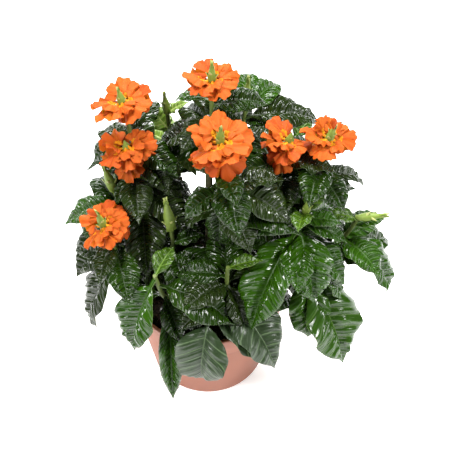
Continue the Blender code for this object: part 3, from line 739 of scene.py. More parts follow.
# Leaves
BLADE_STATIONS = 60
LONG_BLADE = 38.0
LONG_BLADE_VEINS = 8
SHORT_BLADE_VEINS = 5
VEIN_UNEVENNESS = 0.10
VEIN_SWEEP = 0.27
VEIN_HALF_WIDTH = 0.45
VEIN_COLUMNS = 9
STALK_STATIONS = (-0.11, -0.05, 0.0)
FIELD_STEPS = (0.05, 0.22, 0.42, 0.62, 0.81, 0.95)
ACROSS_STEPS = np.array([0.0, 0.14, 0.28, 0.42, 0.56, 0.69, 0.81, 0.91, 1.0])
BLADE_THICKNESS = 0.5
STALK_THICKNESS = 1.5
FULL_LEAF = 70.0
LARGEST_RELIEF = 1.15
QUILT_HEIGHT = 2.4
DULL_QUILT_SHARE = 0.4
MIDRIB_DEPTH = 1.1
MIDRIB_REACH = 1.8
CROSS_ARCH = 0.13

# Florets
FAN_LOBES = 5
FAN_STATIONS = 45
FAN_RINGS = np.array([0.07, 0.17, 0.27, 0.42, 0.57, 0.71, 0.83, 0.93, 1.0])
LOBE_SIZES = np.array([0.80, 0.98, 1.04, 0.98, 0.80])
LOBE_NOTCH = 0.28
PETAL_REACH = 1.10
PETAL_THICKNESS = 0.35
SIDE_DROOP = 0.30
EYE_DEPTH = 2.4
EYE_RINGS = 2
LARGEST_PHASE = 6.3
INNER_FLORET_TURN = 36.0
INNER_FLORET_LIFT = 2.6
INNER_FLORET_SIZE = 0.72
INNER_FLORETS = 4
# From this floret on, the lower tier under the upper one takes the deeper orange as painted shade; DEEP_SHARE
# of the others take it at random as their own deeper tone.
SHADED_TIER_FROM = 5
DEEP_SHARE = 0.3
BUD_SHOOTS = ("right_flower", "left_low_flower")
BUD_LINE = (0.0, 3.0, 6.0, 9.0, 12.0, 13.5)
BUD_RADII = (0.7, 1.0, 1.8, 2.6, 1.7, 0.3)

# Bracts
STOUT_SPIKE = 25.0
STOUT_GIRTH = 1.15
SLIM_GIRTH = 0.9
SPIKE_PROFILE = np.array([0.45, 0.66, 0.78, 0.76, 0.66, 0.52, 0.36, 0.20, 0.05])
BRACT_SPACING = 3.4
BRACT_LENGTH = 12.0
BRACT_WIDTH_SHARE = 0.46
BRACT_THICKNESS = 0.35
BRACT_ROWS = 8
OPEN_LEVELS = 2
OPEN_BEND = 0.26


class Surface:
    """Points and faces with one finish number for each face, and each point's place on its blade."""

    def __init__(self):
        self.points = []
        self.faces = []
        self.finishes = []
        self.places = []
        self.count = 0

    def add(self, points, faces, finish, places=None):
        if places is None:
            places = np.zeros((len(points), 2))
        self.points.append(points)
        self.faces.append(faces + self.count)
        self.finishes.append(np.broadcast_to(finish, (len(faces),)))
        self.places.append(places)
        self.count += len(points)


def add_sheet(surface, top, bottom, upper, lower, places):
    """A thin closed sheet between two grids of points; upper holds the finish of each of its upper faces."""
    rows, columns = top.shape[:2]
    i, j = np.meshgrid(np.arange(rows - 1), np.arange(columns - 1), indexing="ij")
    corner = (i * columns + j).ravel()
    quads = np.stack([corner, corner + 1, corner + columns + 1, corner + columns], axis=1)
    ring = list(range(columns))
    ring += [row * columns + columns - 1 for row in range(1, rows)]
    ring += [(rows - 1) * columns + column for column in range(columns - 2, -1, -1)]
    ring += [row * columns for row in range(rows - 2, 0, -1)]
    ring = np.array(ring)
    after = np.roll(ring, -1)
    below = rows * columns
    rim = np.stack([ring, after, after + below, ring + below], axis=1)
    faces = np.concatenate([quads[:, ::-1], quads + below, rim])
    facing = np.cross(top[:-1, 1:] - top[:-1, :-1], top[1:, :-1] - top[:-1, :-1])
    if (facing * (top - bottom)[:-1, :-1]).sum() > 0:
        faces = faces[:, ::-1]
    finish = np.concatenate([upper.ravel(), np.full(len(quads), lower), np.full(len(rim), lower)])
    points = np.concatenate([top.reshape(-1, 3), bottom.reshape(-1, 3)])
    flat = places.reshape(-1, 2)
    surface.add(points, faces, finish, np.concatenate([flat, flat]))


def add_tube(surface, points, radii, sides, finish, first_way=None, relief=0.0, rng=None):
    """A closed tube, with the lengthwise ridges and knots of bark where relief is given."""
    points = np.asarray(points, float)
    flat, faces = tube(points, radii, sides, first_way)
    if relief:
        rings = flat.reshape(len(points), sides, 3)
        out = rings - points[:, None, :]
        ridges = rng.normal(0, 1, (1, sides)) + rng.normal(0, 0.6, (len(points), sides))
        rings = rings + out * (relief * ridges)[..., None]
        flat = rings.reshape(-1, 3)
    quads = [face for face in faces if len(face) == 4]
    head, tail, last = len(flat), len(flat) + 1, (len(points) - 1) * sides
    for j in range(sides):
        k = (j + 1) % sides
        quads.append((k, j, head, head))
        quads.append((last + j, last + k, tail, tail))
    surface.add(np.vstack([flat, points[0], points[-1]]), np.array(quads), finish)


def padded(faces):
    """Triangles and quads as one array, in which a triangle has its last corner twice."""
    return np.array([face if len(face) == 4 else (*face, face[-1]) for face in faces])


def resampled(points, radii, count):
    """A smoother line through the given points, with radii to match."""
    points = np.asarray(points, float)
    ways = np.gradient(points, axis=0)
    places = np.linspace(0, len(points) - 1, count)
    first = np.minimum(places.astype(int), len(points) - 2)
    u = (places - first)[:, None]
    line = (2 * u**3 - 3 * u**2 + 1) * points[first] + (u**3 - 2 * u**2 + u) * ways[first]
    line += (3 * u**2 - 2 * u**3) * points[first + 1] + (u**3 - u**2) * ways[first + 1]
    return line, np.interp(places, range(len(points)), radii)


def along(table, places):
    """Values of a table of evenly spaced rows at places from 0 to 1."""
    stations = np.linspace(0, 1, len(table))
    if table.ndim == 1:
        return np.interp(places, stations, table)
    return np.stack([np.interp(places, stations, column) for column in table.T], axis=-1)


def vein_stations(veins, rng):
    """Stations from the stalk to the tip, several to each field between two side veins.

    Returns each one's share of the blade, below 0 on the stalk, and its place counted in side veins.
    """
    phase = np.array([field + step for field in range(veins) for step in FIELD_STEPS])
    shifts = np.append(0, np.append(rng.normal(0, VEIN_UNEVENNESS, veins - 1), 0))
    s = np.interp(phase, np.arange(veins + 1), np.arange(veins + 1) + shifts) / veins
    s = np.concatenate([STALK_STATIONS, s, [1.0]])
    s = np.where(s > 0, np.abs(s) ** 0.94, s)
    phase = np.concatenate([[0] * len(STALK_STATIONS), phase, [veins]])
    return s[:, None], phase[:, None]


def blade_grid(s, halves):
    """Lays rows of points that sweep forward towards the margin, as the side veins do.

    Returns the place across from -1 to 1, the share of the blade, that of the whole leaf and the half width.
    """
    tips = np.clip(s, 0, 1)
    half_middle = along(halves, PETIOLE_SHARE + (1 - PETIOLE_SHARE) * s)
    strip = np.clip(VEIN_HALF_WIDTH * (1.3 - tips) / np.maximum(half_middle, 0.3), 0.02, 0.32)
    outer = strip + (1 - strip) * ACROSS_STEPS[None, :]
    t = np.concatenate([-outer[:, ::-1], outer], axis=1)
    x = tips + VEIN_SWEEP * np.abs(t) ** 1.35 * (1 - tips) * np.minimum(1, 0.15 + 3 * tips)
    on_stalk = PETIOLE_SHARE * (1 - s / STALK_STATIONS[0])
    share = np.where(s > 0, PETIOLE_SHARE + (1 - PETIOLE_SHARE) * x, on_stalk)
    x = np.where(s > 0, x, 0.0)
    drawn_out = 1 - 0.32 * np.clip((x - 0.70) / 0.2, 0, 1) ** 2 * (x < 0.999)
    return t, x, share, np.maximum(along(halves, share) * drawn_out, 0.14)


def blade_relief(t, x, half, phase, size, fold, habit, rng):
    """How high each point of a blade stands over its midrib's curve, and the factor of its uneven margin.

    Each field between two side veins bulges up and is puckered, the midrib is sunk, and the margin is wavy.
    """
    quilt, wave, recurve = habit
    veins = int(phase[-1, 0])
    reach = np.abs(t)
    from_rib = reach * half
    _, _, left_wave, left_ripple, right_wave, right_ripple = rng.uniform(0, 2 * math.pi, 6)
    field = np.clip(phase[:, 0].astype(int), 0, veins - 1)
    first_turn = rng.uniform(0, 2 * math.pi, veins)[field][:, None]
    second_turn = rng.uniform(0, 2 * math.pi, veins)[field][:, None]
    bulge = np.abs(np.sin(np.pi * phase)) ** 0.6
    rise = np.minimum(1, x * 9) * np.minimum(1, (1 - x) * 5)
    fade = (1 - 0.75 * reach**4) * (1 - np.exp(-((from_rib / 3.0) ** 2))) * rise
    pucker = 1 + 0.30 * np.sin(5 * t + first_turn) + 0.18 * np.sin(11 * t + 2 * phase + second_turn)
    lift = quilt * size * bulge * fade * pucker
    lift -= MIDRIB_DEPTH * size * np.exp(-((from_rib / MIDRIB_REACH) ** 2)) * rise
    lift += CROSS_ARCH * half * np.sin(np.pi * reach) * rise
    lift += half * reach * math.sin(math.radians(fold))
    left = np.sin(2 * math.pi * 2.1 * x + left_wave) + 0.5 * np.sin(2 * math.pi * 4.3 * x + left_ripple)
    right = np.sin(2 * math.pi * 2.4 * x + right_wave) + 0.5 * np.sin(2 * math.pi * 3.9 * x + right_ripple)
    lift += wave * half * reach**3 * np.where(t > 0, left, right) * rise
    lift -= recurve * half * reach**2
    margin = 1 + 0.02 * (bulge - 0.5) * (reach > 0.9) + 0.02 * np.sin(7 * x + left_ripple)
    return lift, margin


def add_blade(surface, leaf, finishes, habit, rng):
    """A leaf blade whose rows of faces run along its side veins, with the veins in a finish of their own."""
    upper, lower, vein = finishes
    middle, sides, normals, halves = (np.array(column) for column in zip(*leaf.rows(BLADE_STATIONS)))
    length = np.linalg.norm(np.diff(middle, axis=0), axis=1).sum()
    s, phase = vein_stations(LONG_BLADE_VEINS if length > LONG_BLADE else SHORT_BLADE_VEINS, rng)
    t, x, share, half = blade_grid(s, halves)
    size = min(length / FULL_LEAF, LARGEST_RELIEF)
    lift, margin = blade_relief(t, x, half, phase, size, leaf.fold, habit, rng)
    thickness = BLADE_THICKNESS * (1 - 0.45 * np.abs(t) ** 6)
    thickness = thickness + STALK_THICKNESS * np.exp(-((share / 0.09) ** 2))
    normal = along(normals, share)
    sideways = along(sides, share) * (t * half * margin)[..., None]
    top = along(middle, share) + sideways + normal * (lift + thickness / 2)[..., None]
    bottom = top - normal * thickness[..., None]

    ends = phase[:-1] + phase[1:]
    on_vein = (np.abs(ends - 2 * np.round(ends / 2)) < 0.01) & (s[1:] > 0)
    from_middle = np.abs(np.arange(t.shape[1] - 1) - t.shape[1] // 2 + 1)[None, :]
    painted = np.where((on_vein & (from_middle < VEIN_COLUMNS)) | (from_middle == 0), vein, upper)
    add_sheet(surface, top, bottom, painted, lower, np.stack([phase + 0 * t, t * half / 10], axis=-1))


def inner_floret(shoot, floret):
    """A smaller floret between this one and the next, closer to the spike and a little higher."""
    inner = copy.copy(floret)
    inner.down = turned(floret.down, shoot.way, INNER_FLORET_TURN)
    inner.across = turned(floret.across, shoot.way, INNER_FLORET_TURN)
    inner.normal = turned(floret.normal, shoot.way, INNER_FLORET_TURN)
    arm = turned(floret.centre - shoot.tip, shoot.way, INNER_FLORET_TURN)
    inner.centre = shoot.tip + arm * 0.85 + shoot.way * INNER_FLORET_LIFT
    inner.radius = floret.radius * INNER_FLORET_SIZE
    return inner


def ruffled_fan(radius, rng):
    """Angles, distances from the eye and heights of a fan's points, in round, nicked lobes that droop."""
    share = np.linspace(0, 1, FAN_STATIONS)[:, None]
    rings = FAN_RINGS[None, :]
    angle = (share * 2 - 1) * math.radians(FAN_ANGLE / 2)
    lobe = np.clip((share * FAN_LOBES).astype(int), 0, FAN_LOBES - 1)
    in_lobe = np.abs(share * FAN_LOBES - lobe - 0.5) * 2
    sizes = LOBE_SIZES * rng.uniform(0.93, 1.07, FAN_LOBES)
    tilts = rng.uniform(-0.16, 0.12, FAN_LOBES)
    round_edge = np.sqrt(np.clip(1 - in_lobe**2.8, 0, 1))
    nicked = 1 - 0.05 * np.exp(-((in_lobe / 0.16) ** 2))
    frill = 1 + 0.014 * np.sin(29 * angle + rng.uniform(0, LARGEST_PHASE))
    reach = radius * PETAL_REACH * sizes[lobe] * (1 - LOBE_NOTCH * (1 - round_edge)) * nicked * frill
    r = reach * rings
    height = (tilts[lobe] - rng.uniform(0.0, 0.16)) * rings**2 * reach
    height = height + 0.20 * reach * rings**1.5 * in_lobe**2 * rng.choice([-1, 1], FAN_LOBES)[lobe]
    height = height + 0.05 * reach * rings**3 * np.sin(13 * angle + rng.uniform(0, LARGEST_PHASE))
    height = height - SIDE_DROOP * r * np.sin(angle * 0.7) ** 2
    height = height - EYE_DEPTH * np.exp(-((r / EYE_DEPTH) ** 2))
    return angle, r, height


def add_floret(surface, floret, finish, rng):
    """One floret: a ruffled fan of round lobes round a yellow eye, on its slender tube."""
    angle, r, height = ruffled_fan(floret.radius, rng)
    flat = np.cos(angle)[..., None] * floret.down + np.sin(angle)[..., None] * floret.across
    top = floret.centre + r[..., None] * flat + height[..., None] * floret.normal
    bottom = top - floret.normal * PETAL_THICKNESS
    upper = np.full((top.shape[0] - 1, top.shape[1] - 1), finish)
    upper[:, :EYE_RINGS] = 1
    places = np.stack([np.degrees(angle) / 36 + 0 * r, r / 10], axis=-1)
    add_sheet(surface, top, bottom, upper, 2, places)
    throat = floret.centre - floret.normal * 2.3
    tail = floret.centre - floret.down * FLORET_THROAT * 1.05
    line = curve(tail, unit(throat - tail), throat, floret.normal, 6)
    add_tube(surface, line, np.linspace(0.7, 1.4, 6), 7, 1)


def add_bud(surface, shoot):
    """A closed floret, rolled to a point, that stands beside the top of a spike."""
    foot = shoot.tip + shoot.way * shoot.spike * 0.6
    way = unit(shoot.way + np.array([-0.3, -0.2, 0.0]))
    add_tube(surface, [foot + way * reach for reach in BUD_LINE], BUD_RADII, 10, 3)


def add_bract(surface, foot, way, out, length, bend, finish):
    """One pointed, keeled bract that hugs the spike and bends out at its tip."""
    width = length * BRACT_WIDTH_SHARE
    across = np.cross(way, out)
    share = np.linspace(0, 1, BRACT_ROWS)[:, None]
    t = np.array([-1, -0.55, 0, 0.55, 1])[None, :]
    half = 0.5 * width * np.maximum(2.35 * (share + 0.08) ** 0.75 * (1 - share) ** 0.85, 0.05)
    out_by = length * bend * share**3 + 0.45 * width * (0.6 - np.abs(t) ** 1.4) * (1 - 0.7 * share)
    top = foot + (share * length)[..., None] * way + (t * half)[..., None] * across + out_by[..., None] * out
    bottom = top - out * BRACT_THICKNESS
    upper = np.full((BRACT_ROWS - 1, t.shape[1] - 1), finish)
    upper[-2:, :] = finish + 1
    places = np.stack([share * length / 10 + 0 * t, t * half / 10], axis=-1)
    add_sheet(surface, top, bottom, upper, finish, places)


def add_spike(surface, shoot, rng):
    """The flower spike: a turned core under crossed pairs of overlapping bracts."""
    girth = SPIKE_RADIUS * (STOUT_GIRTH if shoot.spike > STOUT_SPIKE else SLIM_GIRTH)
    shares = np.linspace(0, 1, len(SPIKE_PROFILE))
    line = [shoot.tip + shoot.way * (shoot.spike * 0.94 * share - 1.0) for share in shares]
    add_tube(surface, line, girth * SPIKE_PROFILE, 10, 0)
    side = unit(np.cross(shoot.way, np.array([0.3, 0.9, 0.1])))
    levels = max(3, int(shoot.spike / BRACT_SPACING))
    for level in range(levels):
        share = level / levels
        foot = shoot.tip + shoot.way * (shoot.spike * share * 0.84 - 2.0)
        radius = girth * (0.72 - 0.62 * share**1.2)
        length = min(BRACT_LENGTH, 0.5 * shoot.spike) * (1.05 - 0.35 * share) * rng.uniform(0.92, 1.08)
        bend = OPEN_BEND if level < OPEN_LEVELS else 0.12 - 0.20 * share
        for half_turn in (0, 180):
            out = turned(side, shoot.way, shoot.roll + 90 * level + half_turn + rng.uniform(-8, 8))
            way = unit(shoot.way - out * 0.16 * share)
            add_bract(surface, foot + out * radius * 0.6, way, out, length, bend, 0)


# Materials. Colours are sRGB hex values.


def linear(hex_colour):
    """The linear colour of an sRGB hex value."""
    channels = [int(hex_colour[k : k + 2], 16) / 255 for k in (1, 3, 5)]
    return tuple(c / 12.92 if c <= 0.04045 else ((c + 0.055) / 1.055) ** 2.4 for c in channels) + (1.0,)


def add_node(tree, kind, settings=None, links=None):
    """Adds a node, gives it its settings and input values, and links other nodes' outputs to its inputs."""
    node = tree.nodes.new(kind)
    for name, value in (settings or {}).items():
        if isinstance(name, str) and hasattr(node, name):
            setattr(node, name, value)
        else:
            node.inputs[name].default_value = value
    for name, (source, output) in (links or {}).items():
        tree.links.new(source.outputs[output], node.inputs[name])
    return node


def noise(tree, scale, detail, place, output="Object"):
    """Adds a cloudy pattern that a node of places lays out."""
    values = {"Scale": scale, "Detail": detail}
    return add_node(tree, "ShaderNodeTexNoise", values, {"Vector": (place, output)})


def new_material(name, roughness, ior, **values):
    """A material, its node tree and its shader with the given values."""
    made = bpy.data.materials.new(name)
    made.use_nodes = True
    shader = made.node_tree.nodes["Principled BSDF"]
    shader.inputs["Roughness"].default_value = roughness
    shader.inputs["IOR"].default_value = ior
    for key, value in values.items():
        shader.inputs[key.replace("_", " ")].default_value = value
    return made, made.node_tree, shader


def tinted(tree, shader, pattern, body, shade):
    """Lets a pattern tint the base colour between two tones."""
    tones = {"data_type": "RGBA", 6: linear(shade), 7: linear(body)}
    tint = add_node(tree, "ShaderNodeMix", tones, {0: (pattern, 0)})
    tree.links.new(tint.outputs[2], shader.inputs["Base Color"])


def raised(tree, shader, pattern, strength, depth):
    """Lets a pattern raise the surface by a depth in metres."""
    relief = {"Strength": strength, "Distance": depth}
    bump = add_node(tree, "ShaderNodeBump", relief, {"Height": (pattern, 0)})
    tree.links.new(bump.outputs[0], shader.inputs["Normal"])


def tinted_relief(tree, shader, pattern, body, shade, strength, depth):
    """Lets one pattern both tint the base colour and raise the surface."""
    tinted(tree, shader, pattern, body, shade)
    raised(tree, shader, pattern, strength, depth)


def waxed_leaf(name, body, shade, roughness, depth):
    """The upper face of a living leaf: plant wax, IOR 1.45, over green cells, crinkled between side veins.

    The wax gives small hard glints on every crinkle, which is what makes the plant look dark and wet.
    """
    made, tree, shader = new_material(name, roughness, 1.45)
    place = add_node(tree, "ShaderNodeUVMap", {"uv_map": "blade"})
    # Crinkles 1 mm wide and 8 mm long, drawn 2.6 mm wide and 22 mm long so that they show: 3 or 4 of them
    # between two side veins.
    stretch = add_node(tree, "ShaderNodeMapping", {"Scale": (3.4, 0.45, 1.0)}, {"Vector": (place, 0)})
    crinkle = noise(tree, 1.0, 0.7, stretch, 0)
    # The crinkles' low parts take the darker colour: painted shade in their hollows.
    tinted_relief(tree, shader, crinkle, body, shade, 1.0, depth)
    return made


def leaf_underside(name, body, shade):
    """The lower face of a leaf: no gloss, only a fine felt of hairs over raised veins, so matt and pale."""
    made, tree, shader = new_material(name, 0.62, 1.42)
    place = add_node(tree, "ShaderNodeUVMap", {"uv_map": "blade"})
    # A net of veins with meshes of about 2.5 mm.
    net = noise(tree, 4.0, 3.0, place, 0)
    tinted_relief(tree, shader, net, body, shade, 0.5, 0.0006)
    return made


def green_skin(name, body, shade, roughness):
    """Sappy green skin of a young stem, vein or bract: half gloss, mottled about every 2 mm."""
    made, tree, shader = new_material(name, roughness, 1.42)
    place = add_node(tree, "ShaderNodeTexCoord")
    mottle = noise(tree, 450.0, 2.0, place)
    tinted_relief(tree, shader, mottle, body, shade, 0.4, 0.0003)
    return made


def petal_skin(name, body, shade):
    """A thin living petal: dry and velvety, so it glows evenly and keeps its colour in shade."""
    glow = {"Subsurface_Weight": 0.25, "Subsurface_Radius": (0.004, 0.0012, 0.0003), "Subsurface_Scale": 1.0}
    made, tree, shader = new_material(name, 0.7, 1.30, **glow)
    place = add_node(tree, "ShaderNodeUVMap", {"uv_map": "blade"})
    # Fine creases that fan out from the eye, about 1.5 mm apart at the edge of the petal, their hollows
    # darkened with painted shade.
    stretch = add_node(tree, "ShaderNodeMapping", {"Scale": (5.0, 0.7, 1.0)}, {"Vector": (place, 0)})
    crease = noise(tree, 1.6, 3.0, stretch, 0)
    tinted_relief(tree, shader, crease, body, shade, 0.5, 0.0005)
    return made


def young_bark(name, body, shade):
    """The first bark of a soft shrub: green skin going brown and corky in lengthwise cracks."""
    made, tree, shader = new_material(name, 0.68, 1.45)
    place = add_node(tree, "ShaderNodeTexCoord")
    # Corky cracks about 1 mm apart round the stem and 5 mm long.
    sizes = {"Scale": (900.0, 900.0, 180.0)}
    stretch = add_node(tree, "ShaderNodeMapping", sizes, {"Vector": (place, "Object")})
    cork = noise(tree, 1.0, 4.0, stretch, 0)
    tinted_relief(tree, shader, cork, body, shade, 0.8, 0.0006)
    return made


def moulded_polypropylene(name, body, shade):
    """Injection-moulded polypropylene, IOR 1.49: a matt, faintly cloudy skin with the mould's fine grain."""
    made, tree, shader = new_material(name, 0.48, 1.49)
    place = add_node(tree, "ShaderNodeTexCoord")
    # Clouds of about 45 mm in the pigment.
    cloud = noise(tree, 22.0, 2.0, place)
    tinted(tree, shader, cloud, body, shade)
    # Mould grain of 0.3 mm, drawn at 0.8 mm so that it shows.
    grain = noise(tree, 1200.0, 1.0, place)
    raised(tree, shader, grain, 0.25, 0.0001)
    return made


def moist_peat(name, body, shade):
    """Moist peat with bark crumbs of 1 to 4 mm: dark, rough and without shine."""
    made, tree, shader = new_material(name, 0.92, 1.35)
    place = add_node(tree, "ShaderNodeTexCoord")
    crumb = add_node(tree, "ShaderNodeTexVoronoi", {"Scale": 450.0}, {"Vector": (place, "Object")})
    tinted_relief(tree, shader, crumb, body, shade, 1.0, 0.001)
    return made


def opal_acrylic(name):
    """A sheet of opal acrylic lit from below, the plain floor of a product studio, which has no shadows."""
    made, _, shader = new_material(name, 0.9, 1.49, Emission_Strength=0.55)
    shader.inputs["Base Color"].default_value = linear("#f7f7f7")
    shader.inputs["Emission Color"].default_value = linear("#ffffff")
    return made


# The pieces.


def mesh_piece(name, surface, materials, nodes=()):
    """Turns a surface into one object that rides with the plant and stands for the given solids."""
    data = bpy.data.meshes.new(name)
    faces = [tuple(dict.fromkeys(face)) for face in np.concatenate(surface.faces).tolist()]
    data.from_pydata(np.concatenate(surface.points) * MM, [], faces)
    data.polygons.foreach_set("material_index", np.concatenate(surface.finishes).astype(np.int32))
    corners = np.empty(len(data.loops), np.int32)
    data.loops.foreach_get("vertex_index", corners)
    unwrapped = data.uv_layers.new(name="blade")
    unwrapped.data.foreach_set("uv", np.concatenate(surface.places)[corners].ravel())
    data.shade_smooth()
    data.set_sharp_from_angle(angle=math.radians(60))
    for made in materials:
        data.materials.append(made)
    obj = bpy.data.objects.new(name, data)
    bpy.context.scene.collection.objects.link(obj)
    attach(obj, "root")
    if nodes:
        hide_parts(*nodes)


# Each tone: name, upper face and the painted shade in its crinkles' hollows, roughness, depth of its crinkles
# in metres, underside and its shade, veins and their shade.
LEAF_TONES = [
    ("old", "#26360f", "#142005", 0.14, 0.0042, "#4f6538", "#41562c", "#1c2a08", "#142004"),
    ("grown", "#223c06", "#112402", 0.13, 0.0042, "#58723c", "#48602e", "#1e3606", "#162a03"),
    ("fresh", "#2d5204", "#193801", 0.15, 0.0036, "#678244", "#566f36", "#32540a", "#264604"),
    ("young", "#38560a", "#284204", 0.24, 0.0024, "#708848", "#607838", "#56741c", "#4a6616"),
    ("pale", "#7a9638", "#5c7c26", 0.34, 0.0016, "#8a9c5c", "#788c4a", "#a8b46c", "#98a65c"),
    ("smooth", "#30520c", "#1f3e08", 0.20, 0.0016, "#678244", "#566f36", "#42601c", "#365414"),
    ("dull", "#304226", "#203016", 0.36, 0.0014, "#5c6e4c", "#4c5e3e", "#586c4a", "#4a5c3e"),
]
TONE_NUMBERS = {tone[0]: number for number, tone in enumerate(LEAF_TONES)}
FRESH_SHOOTS = ("right_front", "right_end")
EVEN_SHOOTS = {"left_young": "pale", "low_front": "dull", "low_right": "smooth"}
BUD_LEAF_AGE = 0.09
BUD_LEAF_LENGTH = 32.0


def tone_of(shoot, leaf, rng):
    """The tone of a leaf by its place on the shoot: young at the tip, old at the foot."""
    stem = shoot.stem[0]
    age = np.linalg.norm(leaf.root - stem[-1]) / np.linalg.norm(stem[0] - stem[-1])
    length = np.linalg.norm(leaf.tip - leaf.root)
    if shoot.name in EVEN_SHOOTS:
        return EVEN_SHOOTS[shoot.name]
    if age < BUD_LEAF_AGE and length < BUD_LEAF_LENGTH:
        return "young"
    if shoot.name == "front" and age > 0.7:
        return "dull"
    if shoot.name == "left_front":
        return "grown" if 0.2 < age < 0.8 else "fresh"
    if shoot.name in FRESH_SHOOTS:
        return "fresh" if age < 0.45 or rng.uniform() < 0.3 else "grown"
    if age < 0.25:
        return "fresh" if rng.uniform() < 0.6 else "grown"
    return "grown" if rng.uniform() < 0.45 else "old"


def make_leaves(rng):
    """One piece for each shoot; every leaf has three finishes, for its upper face, underside and veins."""
    materials = []
    for name, body, shade, roughness, depth, under, under_shade, vein, vein_shade in LEAF_TONES:
        materials.append(waxed_leaf(f"{name}_leaf_wax", body, shade, roughness, depth))
        materials.append(leaf_underside(f"{name}_leaf_underside", under, under_shade))
        materials.append(green_skin(f"{name}_leaf_vein", vein, vein_shade, 0.42))
    for shoot in SHOOTS:
        surface = Surface()
        for leaf in shoot.leaves:
            tone = tone_of(shoot, leaf, rng)
            first = 3 * TONE_NUMBERS[tone]
            quilt = QUILT_HEIGHT * (DULL_QUILT_SHARE if tone == "dull" else 1.0)
            habit = (quilt, rng.uniform(0.08, 0.18), rng.uniform(0.0, 0.10))
            add_blade(surface, leaf, (first, first + 1, first + 2), habit, rng)
        mesh_piece(f"leaves_{shoot.name}", surface, materials, [f"shoot_{shoot.name}"])


def make_flowers(rng):
    """All florets as one piece and all bract spikes as another."""
    petals = Surface()
    spikes = Surface()
    for shoot in SHOOTS:
        if shoot.name in BUD_SHOOTS:
            add_bud(petals, shoot)
        for k, floret in enumerate(shoot.fans):
            # Lower-tier florets get the deeper orange as painted shade, a random share of the rest as their
            # own deeper tone.
            add_floret(petals, floret, 3 if k >= SHADED_TIER_FROM or rng.uniform() < DEEP_SHARE else 0, rng)
            if k < INNER_FLORETS:
                add_floret(petals, inner_floret(shoot, floret), 0, rng)
        if shoot.spike:
            add_spike(spikes, shoot, rng)
    orange = petal_skin("orange_petal", "#b4520e", "#a44508")
    eye = petal_skin("yellow_throat", "#d68a08", "#c07404")
    back = petal_skin("petal_back", "#ac440e", "#983806")
    # Deeper orange: painted shade on the lower tier, and the own colour of buds and of a random share of
    # florets.
    deep_and_shaded = petal_skin("deep_orange_and_painted_shade_petal", "#ae480a", "#9c3a04")
    mesh_piece("florets", petals, [orange, eye, back, deep_and_shaded])
    bract = green_skin("bract_green", "#7e923e", "#64782c", 0.45)
    tip = green_skin("bract_tip", "#b4b878", "#9aa05c", 0.5)
    mesh_piece("bract_spikes", spikes, [bract, tip])


BARK_RELIEF = 0.035


def make_limbs(rng):
    """The green leafy stems as one piece, and the trunk and boughs with their bark as another."""
    stems = Surface()
    bark = Surface()
    for shoot in SHOOTS:
        line, radii = resampled(*shoot.stem, 14)
        add_tube(stems, line, radii, 10, 0, shoot.foot_way)
        line, radii = resampled(*shoot.bough, 26)
        add_tube(bark, line, radii, 14, 0, shoot.start_way, BARK_RELIEF, rng)
    line, radii = resampled(trunk_line(), trunk_radii(), 26)
    add_tube(bark, line, radii, 20, 0, UP, BARK_RELIEF, rng)
    stem_green = green_skin("stem_green", "#6a783a", "#52632a", 0.5)
    mesh_piece("leafy_stems", stems, [stem_green])
    bark_brown = young_bark("young_bark", "#565430", "#363520")
    nodes = ["main_stem"] + [f"bough_{shoot.name}" for shoot in SHOOTS]
    mesh_piece("bark_limbs", bark, [bark_brown], nodes)


FOOT_RECESS = 1.2
FOOT_RING_WIDTH = 8.0
POT_FINE_FACETS = 128


def arc(middle, height, radius, first, last, steps):
    """Profile points on an arc between two angles in degrees, counted from the outward way upwards."""
    angles = [math.radians(first + (last - first) * k / steps) for k in range(steps + 1)]
    return [(middle + radius * math.cos(a), height + radius * math.sin(a)) for a in angles]


def make_pot():
    """The pot with a recessed foot, a shoulder under its band and a round lip."""
    band_foot = POT_HEIGHT - POT_BAND_HEIGHT
    inside = inner_radius(POT_HEIGHT)
    foot = POT_BASE_RADIUS - FOOT_RING_WIDTH
    profile = [(0, FOOT_RECESS), (foot - 1, FOOT_RECESS), (foot, 0.0)]
    profile += arc(POT_BASE_RADIUS - POT_EDGE, POT_EDGE, POT_EDGE, -90, 0, 6)
    profile += [
        (POT_BODY_TOP_RADIUS - 0.9, band_foot - 6),
        (POT_BODY_TOP_RADIUS - 0.2, band_foot - 0.9),
        (POT_BODY_TOP_RADIUS + 0.6, band_foot - 0.2),
        (POT_BAND_FOOT_RADIUS - 0.6, band_foot),
        (POT_BAND_FOOT_RADIUS - 0.1, band_foot + 0.5),
        (POT_RIM_RADIUS - 0.3, POT_HEIGHT - 3.2),
    ]
    lip = (POT_RIM_RADIUS - inside) / 2
    profile += arc(inside + lip, POT_HEIGHT - lip, lip, 0, 180, 8)
    profile += [(inner_radius(height), height) for height in (band_foot, 20, POT_WALL)]
    profile.append((0, POT_WALL + 0.2))
    points, faces = turned_solid(profile, POT_FINE_FACETS)
    pot = Surface()
    pot.add(points, padded(faces), 0)
    plastic = moulded_polypropylene("moulded_polypropylene", "#975537", "#8e4c30")
    mesh_piece("pot_shell", pot, [plastic], ["pot"])


PEAT_DEPTH = 20.0
PEAT_RINGS = 40
PEAT_FACETS = 120
CRUMBS = 520
CRUMB_TIPS = np.array([(1, 0, 0), (0, 1, 0), (-1, 0, 0), (0, -1, 0), (0, 0, 1), (0, 0, -1)], float)
CRUMB_FACES = [(k, (k + 1) % 4, 4, 4) for k in range(4)] + [((k + 1) % 4, k, 5, 5) for k in range(4)]


